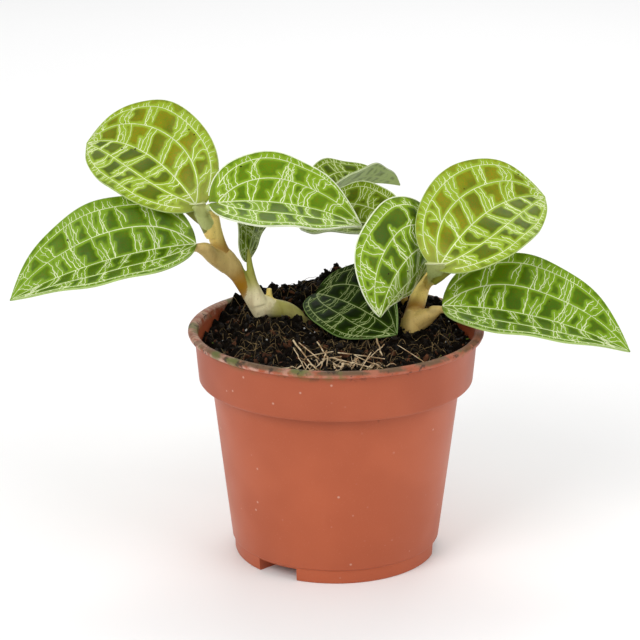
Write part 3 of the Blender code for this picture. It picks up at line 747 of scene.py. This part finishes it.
def veinBundle(draw, leaf, first, second, x, slant, strands, gap):
    # strands run side by side, meet, fork and sometimes stop half way
    net = []
    bend = draw.normal(0, 0.7)
    for k in range(strands):
        start = 0.0 if draw.uniform() < 0.84 else draw.uniform(0.15, 0.45)
        end = 1.0 if draw.uniform() < 0.76 or start > 0 else draw.uniform(0.4, 0.85)
        here = x + k * gap + draw.normal(0, 0.25)
        thick = draw.uniform(0.30, 0.44)
        path = crossStrand(draw, leaf, first, second, here, slant + draw.normal(0, 0.8), bend, start, end)
        net.append((path, thick, thick * 0.8))
        for chance, way in ((0.55, -1), (0.35, 1)):  # a link to its neighbour, or a fork that fades
            if draw.uniform() > chance:
                continue
            begin = draw.integers(1, len(path) - 3)
            steps = draw.integers(3, 6)
            reach = gap * draw.uniform(0.5, 1.2) * way
            t0, s0 = path[begin]
            grow = np.linspace(0, 1, steps)
            t = t0 + (reach * grow + draw.normal(0, 0.12, steps) * grow) / leaf["length"]
            width = abs(second(t0) - first(t0))
            s = s0 + (grow + draw.normal(0, 0.08, steps) * grow) * draw.uniform(0.12, 0.35) * width * np.sign(
                second(t0) - first(t0))
            net.append((np.c_[np.clip(t, 0.01, 0.985), s], 0.26, 0.20))
    return net


def leafNet(leaf):
    # midrib, lengthwise veins, then ladders of bundled cross veins between them
    draw = np.random.default_rng(leaf["seed"])
    size, spread = leaf["length"] / 55.0, leafLooks[leaf["look"]]["spread"]
    t = np.linspace(0.0, 0.985, 64)
    net = [(np.c_[t, 0 * t], 0.60, 0.26)]
    lines = {0: lambda t: 0 * t}
    for side in (1, -1):
        inner = side * (0.47 + draw.uniform(-0.03, 0.03))
        outer = side * (0.86 + draw.uniform(-0.015, 0.015))
        phase = draw.uniform(0, 6)
        lines[side] = lambda t, inner=inner, phase=phase: longVein(inner, t, 0.42) + 0.014 * np.sin(9 * t + phase)
        lines[2 * side] = lambda t, outer=outer, phase=phase: longVein(outer, t, 0.78) + 0.010 * np.sin(13 * t + phase)
        net.append((np.c_[t, lines[side](t)], 0.46, 0.24))
        net.append((np.c_[t[2:-1], lines[2 * side](t[2:-1])], 0.38, 0.22))
    for side in (1, -1):
        for first, second, lean in ((0, side, 1.0), (side, 2 * side, 0.5)):
            x = draw.uniform(1.5, 4.0) * size
            while x < leaf["length"] * 0.93:
                strands = int(draw.choice((2, 2, 3, 3, 4, 5)))
                gap = draw.uniform(0.85, 1.45) * (0.6 + 0.4 * size)
                slant = draw.uniform(0.4, 3.2) * size * lean
                net += veinBundle(draw, leaf, lines[first], lines[second], x, slant, strands, gap)
                x += strands * gap + draw.uniform(2.2, 5.0) * size * spread
        x = draw.uniform(2.0, 4.0)
        margin = lambda t, side=side: 0 * t + side * 0.985
        while x < leaf["length"] * 0.92:  # short stubs from the outer vein towards the edge
            net.append((crossStrand(draw, leaf, lines[2 * side], margin, x, draw.uniform(-0.5, 1.1), 0.0,
                                    0.0, draw.uniform(0.45, 1.0), 0.22, 6), 0.32, 0.22))
            x += draw.choice((0.8, 1.1, 1.7, 2.9)) * size
    if leaf.get("flip"):
        net = [(np.c_[path[:, 0], -path[:, 1]], wide, thin) for path, wide, thin in net]
    return net


def resample(path, leaf, step):
    spots = leafPoints(leaf, path[:, 0], path[:, 1])
    reach = np.r_[0, np.cumsum(np.linalg.norm(np.diff(spots, axis=0), axis=1))]
    count = max(3, int(reach[-1] / step) + 1)
    marks = np.linspace(0, reach[-1], count)
    return np.c_[np.interp(marks, reach, path[:, 0]), np.interp(marks, reach, path[:, 1])]


def veinRibbons(name, leaf, net):
    points, faces, offset = [], [], 0
    lift = blade["thick"] / 2 + blade["veinLift"]
    for path, wide, thin in net:
        path = resample(path, leaf, 0.6)
        centre = leafPoints(leaf, path[:, 0], path[:, 1])
        normal = leafNormals(leaf, path[:, 0], path[:, 1])
        run = np.gradient(centre, axis=0)
        side = np.cross(normal, run)
        side /= np.linalg.norm(side, axis=1)[:, None] + 1e-12
        half = np.linspace(wide, thin, len(path))[:, None] / 2
        ridge = centre + normal * (lift + 0.05)
        points.append(np.stack([centre + normal * (lift - 0.10) - side * half, ridge,
                                centre + normal * (lift - 0.10) + side * half], axis=1).reshape(-1, 3))
        for i in range(len(path) - 1):
            for k in range(2):
                a = offset + i * 3 + k
                faces.append((a, a + 3, a + 4, a + 1))
        offset += 3 * len(path)
    return meshFrom(name, np.vstack(points) * mm, faces)


def leafToneGroup():
    group = bpy.data.node_groups.new("leafTone", "ShaderNodeTree")
    for name, kind in (("Near", "NodeSocketFloat"), ("Far Side", "NodeSocketFloat"), ("Base", "NodeSocketFloat"),
                       ("Band", "NodeSocketFloat"), ("Patch", "NodeSocketColor"), ("Far Patch", "NodeSocketColor"), ("Halo", "NodeSocketColor"),
                       ("Vector", "NodeSocketVector")):
        group.interface.new_socket(name=name, in_out="INPUT", socket_type=kind)
    group.interface.new_socket(name="Colour", in_out="OUTPUT", socket_type="NodeSocketColor")
    group.interface.new_socket(name="Height", in_out="OUTPUT", socket_type="NodeSocketFloat")
    entry, leave = group.nodes.new("NodeGroupInput"), group.nodes.new("NodeGroupOutput")
    place = entry.outputs["Vector"]
    broad = grain(group, place, 110.0, 2.0)
    speckle = grain(group, place, 2400.0, 2.0)
    patch = blendColours(group, entry.outputs["Far Side"], entry.outputs["Patch"], entry.outputs["Far Patch"])
    darker = blendColours(group, 1.0, patch, (0.62, 0.70, 0.70), "MULTIPLY")
    patch = blendColours(group, window(group, broad, 0.35, 0.65), patch, darker)
    brownish = blendColours(group, 1.0, patch, (1.42, 0.88, 0.5), "MULTIPLY")
    patch = blendColours(group, window(group, speckle, 0.48, 0.56), patch, brownish)
    away = calculate(group, "ADD", entry.outputs["Near"], calculate(group, "MULTIPLY", calculate(
        group, "SUBTRACT", grain(group, place, 420.0, 2.0), 0.5), 0.9))
    tone = blendColours(group, window(group, away, 0.35, 1.25), entry.outputs["Halo"], patch)
    plain = blendColours(group, window(group, away, 0.45, 1.15, 0.15, 0.75), entry.outputs["Halo"], patch)
    tone = blendColours(group, entry.outputs["Band"], tone, plain)
    young = blendColours(group, 0.6, entry.outputs["Halo"], (0.42, 0.42, 0.10))
    tone = blendColours(group, entry.outputs["Base"], tone, young)
    group.links.new(tone, leave.inputs["Colour"])
    group.links.new(speckle, leave.inputs["Height"])
    return group


def leafMaterials(group, look, nearSide):
    colours = leafLooks[look]
    tag = look + ("Left" if nearSide > 0 else "Right")
    if "leafFace" + tag in bpy.data.materials:
        return [bpy.data.materials[kind + tag] for kind in ("leafFace", "leafUnder", "leafEdge", "leafVein")]
    made = []
    face, tree, shader = newMaterial("leafFace" + tag, 0.42, colours.get("gloss", blade["gloss"]))
    across = readAttribute(tree, "across")
    node = addNode(tree, "ShaderNodeGroup", node_tree=group)
    tree.links.new(readAttribute(tree, "veinNear"), node.inputs["Near"])
    tree.links.new(window(tree, across, 0.12 * nearSide, -0.12 * nearSide), node.inputs["Far Side"])
    tree.links.new(window(tree, readAttribute(tree, "along"), 0.0, 0.16, colours["young"], 0.0), node.inputs["Base"])
    tree.links.new(readAttribute(tree, "band"), node.inputs["Band"])
    tree.links.new(objectCoordinates(tree), node.inputs["Vector"])
    node.inputs["Patch"].default_value = (*colours["patch"], 1.0)
    node.inputs["Far Patch"].default_value = (*colours["far"], 1.0)
    node.inputs["Halo"].default_value = (*colours["halo"], 1.0)
    tree.links.new(node.outputs["Colour"], shader.inputs["Base Color"])
    addBump(tree, shader, node.outputs["Height"], 0.12, 0.0001)
    made.append(face)
    under, tree, shader = newMaterial("leafUnder" + tag, 0.55, 0.2)
    place = objectCoordinates(tree)
    pale = colours["under"]
    tone = blendColours(tree, window(tree, grain(tree, place, 160.0), 0.35, 0.65), pale, tuple(v * 0.78 for v in pale))
    tone = blendColours(tree, window(tree, readAttribute(tree, "veinNear"), 0.1, 0.8, 0.75, 0.0), tone,
                        tuple(min(1.0, v * 1.45) for v in pale))
    tree.links.new(tone, shader.inputs["Base Color"])
    addBump(tree, shader, grain(tree, place, 1500.0), 0.2, 0.0001)
    made.append(under)
    for kind, key, rough in (("leafEdge", "edge", 0.45), ("leafVein", "vein", 0.42)):
        line, tree, shader = newMaterial(kind + tag, rough, 0.25)
        shade = grain(tree, objectCoordinates(tree), 380.0, 2.0)
        tone = blendColours(tree, window(tree, shade, 0.3, 0.7), colours[key], tuple(v * 0.80 for v in colours[key]))
        tree.links.new(tone, shader.inputs["Base Color"])
        made.append(line)
    return made


def buildLeaf(name, leaf, group):
    deselectAll()
    bpy.ops.mesh.primitive_grid_add(x_subdivisions=blade["alongCells"], y_subdivisions=blade["acrossCells"], size=2.0)
    body = bpy.context.object
    body.name = name.replace("leaf_", "blade_")
    spots = np.empty(len(body.data.vertices) * 3)
    body.data.vertices.foreach_get("co", spots)
    spots = spots.reshape(-1, 3)
    t = (1 - np.cos(np.pi * (0.008 + 0.984 * (spots[:, 0] + 1) / 2))) / 2
    s = np.sin(np.pi / 2 * spots[:, 1] * 0.94) / math.sin(np.pi / 2 * 0.94)
    net = leafNet(leaf)
    tree = KDTree(200000)
    number = 0
    for path, wide, thin in net:
        for spot in leafPoints(leaf, *resample(path, leaf, 0.35).T):
            tree.insert(spot, number)
            number += 1
    tree.balance()
    middle = leafPoints(leaf, t, s)
    near = np.array([tree.find(spot)[2] for spot in middle])
    puff = blade["puff"] * ease((near - 0.15) / blade["puffReach"]) * ease((1 - np.abs(s)) / 0.12)
    middle = middle + leafNormals(leaf, t, s) * puff[:, None]
    body.data.vertices.foreach_set("co", (middle * mm).ravel())
    storeFloat(body.data, "veinNear", near)
    storeFloat(body.data, "across", s)
    storeFloat(body.data, "along", t)
    storeFloat(body.data, "band", ease((np.abs(s) - 0.86) / 0.05))
    nearSide = 1 if name.startswith("leaf_left_upper") or leaf["turn"] > 90 and leaf["turn"] < 270 else -1
    materials = leafMaterials(group, leaf["look"], nearSide)
    for made in materials:
        body.data.materials.append(made)
    if leaf.get("face", 1) < 0:  # this blade shows its upper face from below
        editStart(body)
        bpy.ops.mesh.flip_normals()
        editEnd()
    skin = body.modifiers.new("skin", "SOLIDIFY")
    skin.thickness, skin.offset = blade["thick"] * mm, 0.0
    skin.use_even_offset = False
    skin.material_offset, skin.material_offset_rim = 1, 2
    applyAll(body)
    smoothShade(body, 60)
    edge = leafLooks[leaf["look"]]["edgeWidth"]
    stops = np.linspace(0.004, 0.996, 80)
    rims = [(np.c_[stops, 0 * stops + side * 0.995], edge, edge) for side in (1, -1)]
    veins = veinRibbons(name + "_net", leaf, net)
    for made in materials:
        veins.data.materials.append(made)
    veins.data.polygons.foreach_set("material_index", [3] * len(veins.data.polygons))
    smoothShade(veins, 80)
    rim = veinRibbons(name + "_rim", leaf, rims)
    for made in materials:
        rim.data.materials.append(made)
    rim.data.polygons.foreach_set("material_index", [2] * len(rim.data.polygons))
    smoothShade(rim, 80)
    whole = joinAll(name.replace("leaf_", "blade_"), [body, veins, rim])
    handOver(whole, [name])


def leafSpecks():
    # crumbs of peat that lie on the blades
    draw = np.random.default_rng(71)
    points, faces, offset = [], [], 0
    shape, sides = lumpShape(73, (1.0, 0.7, 0.5))
    for name, leaf in leafShapes.items():
        count = 5 if leaf["look"] == "lime" else 3
        t, s = draw.uniform(0.15, 0.9, count), draw.uniform(-0.85, 0.85, count)
        spots = leafPoints(leaf, t, s) + leafNormals(leaf, t, s) * (blade["thick"] / 2 + 0.2)
        for spot in spots:
            turn = np.array(Euler(draw.uniform(0, 6.28, 3)).to_matrix())
            points.append(shape @ turn.T * draw.uniform(0.16, 0.42) + spot)
            faces.append(sides + offset)
            offset += len(shape)
    specks = meshFrom("leafSpecks", np.vstack(points) * mm, np.vstack(faces).tolist())
    specks.data.materials.append(soilFinish("speckPeat", (0.05, 0.028, 0.012), soil["dark"], 700.0))
    handOver(specks, ())


def buildLeaves():
    group = leafToneGroup()
    for name, leaf in leafShapes.items():
        buildLeaf(name, leaf, group)
    leafSpecks()
    print("leaves ready")


# ---- shoots: routes of (x, y, z, radius, tone)
shootTones = {
    # amberShade is amber stem colour darkened as painted shade, put at the rings where a stem leaves its sheath and
    # where a stalk branches off
    "cream": (0.88, 0.69, 0.21), "amberShade": (0.40, 0.215, 0.038), "beige": (0.58, 0.42, 0.15),
    "sage": (0.43, 0.48, 0.17), "green": (0.17, 0.23, 0.035), "khaki": (0.46, 0.42, 0.13),
    "tan": (0.66, 0.40, 0.10), "pale": (0.82, 0.73, 0.45), "olive": (0.19, 0.20, 0.022),
    # bright is cream brightened as painted light, for the stem that lies in the shade of the leaves
    "line": (0.60, 0.64, 0.36), "leafy": (0.33, 0.34, 0.055), "bright": (0.95, 0.74, 0.22),
    "husk": (0.70, 0.50, 0.165),
}
shoots = {
    "shoot_left": dict(
        tubes=(
            ((-25.0, 10.6, 74.2, 3.1, "pale"), (-22.4, 11.2, 74.3, 3.6, "pale"), (-19.0, 12.0, 73.4, 3.0, "khaki"),
             (-15.4, 13.0, 72.5, 2.7, "khaki"), (-12.6, 13.4, 71.0, 2.3, "khaki"), (-10.3, 14.2, 68.5, 2.0, "khaki"),
             (-7.6, 16.0, 65.6, 1.9, "khaki")),
            ((-22.5, 11.0, 72.0, 2.9, "pale"), (-24.2, 11.0, 75.4, 3.1, "pale"), (-27.3, 10.5, 80.2, 2.6, "amberShade"),
             (-30.6, 10.0, 85.7, 2.6, "amberShade"), (-33.4, 9.5, 89.5, 2.7, "beige"), (-35.4, 8.8, 93.8, 2.4, "amberShade"),
             (-36.9, 7.8, 99.0, 2.4, "cream"), (-37.6, 6.8, 104.0, 2.2, "cream"), (-38.4, 6.2, 107.0, 1.6, "cream")),
            ((-30.0, 10.0, 84.6, 2.5, "amberShade"), (-32.0, 9.6, 87.6, 3.2, "beige"), (-34.4, 8.6, 89.8, 3.2, "beige"),
             (-36.6, 6.6, 91.8, 2.4, "beige")),
            ((-20.4, 12.4, 76.0, 1.1, "cream"), (-20.6, 13.0, 79.6, 0.8, "cream")),
            ((-33.4, 9.0, 88.4, 3.0, "beige"), (-37.4, 5.0, 91.6, 2.0, "beige"), (-39.6, 2.5, 94.1, 1.5, "beige"),
             (-42.0, 0.3, 96.0, 1.0, "beige")),
        ),
        folds=(
            ((-41.5, 2.4, 109.2, 2.4, 0.5, "sage"), (-40.7, 3.0, 107.2, 2.0, 0.8, "sage"),
             (-40.0, 4.0, 104.8, 1.3, 0.9, "sage"), (-39.6, 5.0, 102.4, 0.5, 0.7, "sage")),
            ((-46.6, 5.4, 107.6, 1.2, 0.4, "olive"), (-44.0, 5.4, 106.6, 1.9, 0.6, "olive"),
             (-41.4, 5.6, 103.6, 1.5, 0.6, "olive"), (-39.9, 6.0, 101.2, 0.5, 0.5, "olive")),
            ((-26.8, 12.2, 92.4, 0.35, 0.3, "leafy"), (-26.7, 11.8, 90.2, 0.8, 0.5, "leafy"),
             (-26.3, 10.9, 86.7, 1.1, 0.9, "leafy"), (-25.3, 10.3, 82.4, 1.3, 1.3, "khaki"),
             (-24.3, 9.9, 78.8, 2.0, 1.9, "pale"), (-23.4, 9.8, 75.6, 2.8, 2.6, "pale")),
        ),
        sleeves=(
            ((-34.6, 8.8, 92.2, 2.5, "beige"), (-33.9, 9.0, 90.6, 3.0, "beige"), (-32.8, 9.3, 88.8, 3.1, "beige"),
             (-31.9, 9.5, 87.3, 3.0, "beige")),
        ),
        lines=(
            ((-44.0, 1.8, 109.3, 0.16), (-42.6, 1.5, 109.3, 0.2), (-40.6, 1.5, 109.5, 0.2), (-39.1, 1.9, 109.6, 0.16)),
        ),
        stalks=(
            ("leaf_left_upper", 1.6, "sage", ((-37.6, 7.4, 98.0, 2.2, "cream"), (-39.2, 5.8, 102.4, 2.3, "cream"))),
            ("leaf_left_lower", 1.2, "beige", ((-33.4, 9.0, 88.4, 3.0, "beige"), (-37.4, 5.2, 92.2, 2.4, "beige"))),
            ("leaf_left_front", 0.9, "sage", ((-37.4, 6.6, 104.5, 1.6, "cream"), (-37.6, 3.0, 107.6, 1.3, "cream"))),
        )),
    "shoot_right": dict(
        tubes=(
            # the two amberShade stations are painted shade at the ring where the stem leaves the husk
            ((22.2, 2.6, 62.5, 2.4, "husk"), (22.8, 3.0, 69.6, 2.6, "husk"), (23.6, 4.6, 73.4, 2.8, "amberShade"),
             (24.5, 6.4, 75.6, 2.75, "amberShade"), (25.5, 8.6, 78.4, 2.7, "bright"), (26.9, 11.8, 82.6, 2.7, "bright"),
             (28.4, 15.0, 87.2, 2.3, "tan"),
             (29.8, 16.0, 91.6, 1.7, "cream")),
            ((22.3, 2.4, 66.0, 3.0, "husk"), (22.9, 2.8, 70.6, 3.2, "husk"), (24.2, 4.4, 74.0, 3.1, "husk")),
            ((22.9, 2.6, 70.4, 2.9, "husk"), (26.9, 2.4, 72.6, 2.4, "husk"), (29.9, 1.5, 75.1, 1.6, "husk"),
             (32.0, 0.6, 76.9, 1.05, "husk")),
            # the bright stations here and on the stem above are painted light where the leaves shade the stem
            ((27.4, 11.6, 82.0, 2.0, "bright"), (29.4, 6.8, 84.4, 1.9, "bright"), (30.0, 1.6, 86.8, 1.5, "sage"),
             (30.6, -3.2, 89.6, 1.1, "sage")),
        ),
        folds=(
            # bright on the lower end of this fold is painted light
            ((29.7, -8.7, 93.8, 3.2, 0.5, "sage"), (29.5, -7.0, 91.8, 2.7, 0.9, "sage"),
             (29.1, -3.2, 88.2, 1.7, 1.2, "sage"), (28.7, 3.0, 84.2, 0.9, 1.2, "bright"),
             (28.2, 7.5, 81.6, 0.8, 1.0, "bright")),
            ((36.2, -5.6, 92.0, 1.3, 0.4, "olive"), (33.2, -5.4, 91.2, 2.1, 0.6, "olive"),
             (31.0, -4.8, 88.2, 1.4, 0.6, "olive"), (29.6, -3.0, 85.6, 0.5, 0.5, "olive")),
        ),
        sleeves=(
            ((22.1, 2.1, 65.5, 3.1, "husk"), (22.8, 2.3, 69.6, 3.4, "husk"), (23.3, 3.1, 72.6, 3.3, "husk")),
        ),
        lines=(
            ((26.4, -9.0, 93.7, 0.16), (28.5, -9.5, 93.8, 0.2), (31.0, -9.5, 93.9, 0.2), (33.0, -9.0, 94.0, 0.16)),
        ),
        stalks=(
            ("leaf_right_lower", 1.1, "beige", ((23.8, 2.6, 71.6, 3.0, "husk"), (26.8, 2.2, 73.6, 2.6, "husk"),
                                                (29.4, 1.4, 75.0, 1.8, "husk"))),
            ("leaf_middle", 0.9, "sage", ((29.6, 15.8, 90.4, 1.6, "cream"), (31.2, 13.4, 95.2, 1.3, "sage"))),
        )),
    "shoot_back": dict(
        tubes=(
            ((21.8, 26.0, 63.0, 1.8, "tan"), (21.8, 26.0, 72.0, 1.8, "tan"), (21.6, 25.8, 77.0, 1.7, "cream"),
             (20.8, 25.6, 83.0, 1.6, "cream"), (19.6, 27.0, 87.0, 1.6, "amberShade"), (16.6, 33.0, 90.8, 1.5, "khaki"),
             (9.8, 40.2, 94.5, 1.4, "khaki"), (3.0, 42.0, 97.6, 1.3, "green")),
        ),
        stalks=(
            ("leaf_back_folded", 0.9, "green", ((3.0, 42.0, 97.6, 1.3, "khaki"), (-1.6, 41.4, 99.6, 1.2, "green"))),
            ("leaf_back_dark", 0.9, "green", ((20.4, 25.8, 84.6, 1.4, "khaki"), (20.2, 20.0, 91.5, 1.2, "green"))),
        )),
}
stem = {"stalkGap": 0.55, "voxel": 0.30, "perStage": 8, "foldSides": 16}


def curvePoint(stations, place):
    last = len(stations) - 1
    i = min(int(place), last - 1)
    u = place - i
    a, b = stations[max(i - 1, 0)], stations[i]
    c, d = stations[i + 1], stations[min(i + 2, last)]
    return 0.5 * (2 * b + (c - a) * u + (2 * a - 5 * b + 4 * c - d) * u ** 2 + (3 * b - a - 3 * c + d) * u ** 3)


def routeSamples(route):
    rows = np.array([[*station[:4], *shootTones[station[4]]] for station in route])
    count = (len(rows) - 1) * stem["perStage"]
    return np.array([curvePoint(rows, i / stem["perStage"]) for i in range(count + 1)])


def stalkRoute(leaf, radius, stations, tone):
    forward, left, upward = (v[0] for v in leafAxes(leaf, np.zeros(1)))
    base = np.array(leaf["base"]) - upward * (radius + stem["stalkGap"])
    near, end = base - forward * 3.0, base + forward * 1.2
    return (*stations, (*near, radius + 0.2, tone), (*end, radius, tone))


def tubeAlong(name, samples):
    line = bpy.data.curves.new(name, "CURVE")
    line.dimensions = "3D"
    line.bevel_depth, line.bevel_resolution, line.use_fill_caps = mm, 6, True
    thread = line.splines.new("POLY")
    thread.points.add(len(samples) - 1)
    for point, sample in zip(thread.points, samples):
        point.co = (*(sample[:3] * mm), 1.0)
        point.radius = sample[3]
    obj = bpy.data.objects.new(name, line)
    bpy.context.collection.objects.link(obj)
    makeActive(obj)
    bpy.ops.object.convert(target="MESH")
    return bpy.context.object


def foldAlong(name, stations):
    # flattened body whose broad side faces the front; rows of (x, y, z, half width, half depth, tone)
    rows = np.array([[*station[:5], *shootTones[station[5]]] for station in stations])
    count = (len(rows) - 1) * stem["perStage"]
    rows = np.array([curvePoint(rows, i / stem["perStage"]) for i in range(count + 1)])
    run = np.gradient(rows[:, :3], axis=0)
    wide = np.cross(run, (0.0, math.cos(stage["down"]), -math.sin(stage["down"])))
    wide /= np.linalg.norm(wide, axis=1)[:, None]
    deep = np.cross(run, wide)
    deep /= np.linalg.norm(deep, axis=1)[:, None]
    rings, sides = [], stem["foldSides"]
    for k in range(sides):
        angle = 2 * math.pi * k / sides
        rings.append(rows[:, :3] + wide * rows[:, 3:4] * math.cos(angle) + deep * rows[:, 4:5] * math.sin(angle))
    faces = [(i * sides + k, i * sides + (k + 1) % sides, (i + 1) * sides + (k + 1) % sides, (i + 1) * sides + k)
             for i in range(count) for k in range(sides)]
    faces += [tuple(range(sides))[::-1], tuple(count * sides + k for k in range(sides))]
    made = meshFrom(name, np.stack(rings, axis=1).reshape(-1, 3) * mm, faces)
    editStart(made)
    bpy.ops.mesh.normals_make_consistent(inside=False)
    editEnd()
    edges = [rows[:, :3] + wide * rows[:, 3:4] * share for share in (-0.8, -0.4, 0.0, 0.4, 0.8)]
    near = np.vstack([np.c_[spots, rows[:, 4], rows[:, 5:]] for spots in edges])
    return made, near


def paintTones(obj, every):
    tree = KDTree(len(every))
    for number, sample in enumerate(every):
        tree.insert(sample[:3], number)
    tree.balance()
    tones = []
    for vertex in obj.data.vertices:
        found = tree.find_n(vertex.co / mm, 5)
        weight = np.array([1 / (0.2 + max(0.0, reach - every[number][3])) ** 2 for _, number, reach in found])
        colour = np.array([every[number][4:] for _, number, _ in found])
        tones.append((colour * weight[:, None]).sum(0) / weight.sum())
    storeColour(obj.data, "stemTone", np.clip(np.array(tones), 0, 1))


def shootSkin():
    made, tree, shader = newMaterial("shootSkin", 0.45, 0.25)
    place = objectCoordinates(tree)
    tone = readAttribute(tree, "stemTone", "Color")
    stretched = addNode(tree, "ShaderNodeMapping")
    stretched.inputs["Scale"].default_value = (1.0, 1.0, 0.22)
    tree.links.new(place, stretched.inputs["Vector"])
    streak = grain(tree, stretched.outputs[0], 700.0, 3.0)
    darker = blendColours(tree, 1.0, tone, (0.62, 0.50, 0.36), "MULTIPLY")
    tone = blendColours(tree, window(tree, streak, 0.46, 0.76, 0.0, 0.38), tone, darker)
    speck = grain(tree, place, 2100.0, 2.0)
    tone = blendColours(tree, window(tree, speck, 0.60, 0.70, 0.0, 0.35), tone, (0.24, 0.17, 0.07))
    tree.links.new(tone, shader.inputs["Base Color"])
    addBump(tree, shader, streak, 0.25, 0.0002)
    return made


def buildShoot(name, shoot, skin):
    samples = [routeSamples(route) for route in shoot["tubes"]]
    for leafName, radius, tone, stations in shoot["stalks"]:
        samples.append(routeSamples(stalkRoute(leafShapes[leafName], radius, stations, tone)))
    parts = [tubeAlong("tube", one) for one in samples]
    for fold in shoot.get("folds", ()):
        made, near = foldAlong("fold", fold)
        parts.append(made)
        samples.append(near)
    body = joinAll(name.replace("_", ""), parts)
    step = body.modifiers.new("fuse", "REMESH")
    step.mode, step.voxel_size, step.use_smooth_shade = "VOXEL", stem["voxel"] * mm, True
    soften = body.modifiers.new("soften", "SMOOTH")
    soften.factor, soften.iterations = 0.5, 4
    applyAll(body)
    paintTones(body, np.vstack(samples))
    extras = [body]
    for route in shoot.get("sleeves", ()):
        one = routeSamples(route)
        extras.append(tubeAlong("sleeve", one))
        paintTones(extras[-1], one)
    for route in shoot.get("lines", ()):
        one = routeSamples([(*spot, "line") for spot in route])
        extras.append(tubeAlong("line", one))
        paintTones(extras[-1], one)
    body = joinAll(name.replace("_", ""), extras)
    smoothShade(body, 60)
    body.data.materials.clear()
    body.data.materials.append(skin)
    handOver(body, [name])


def buildShoots():
    skin = shootSkin()
    for name, shoot in shoots.items():
        buildShoot(name, shoot, skin)
    print("shoots ready")


buildStage()
buildPot()
buildSoil()
buildShoots()
buildLeaves()
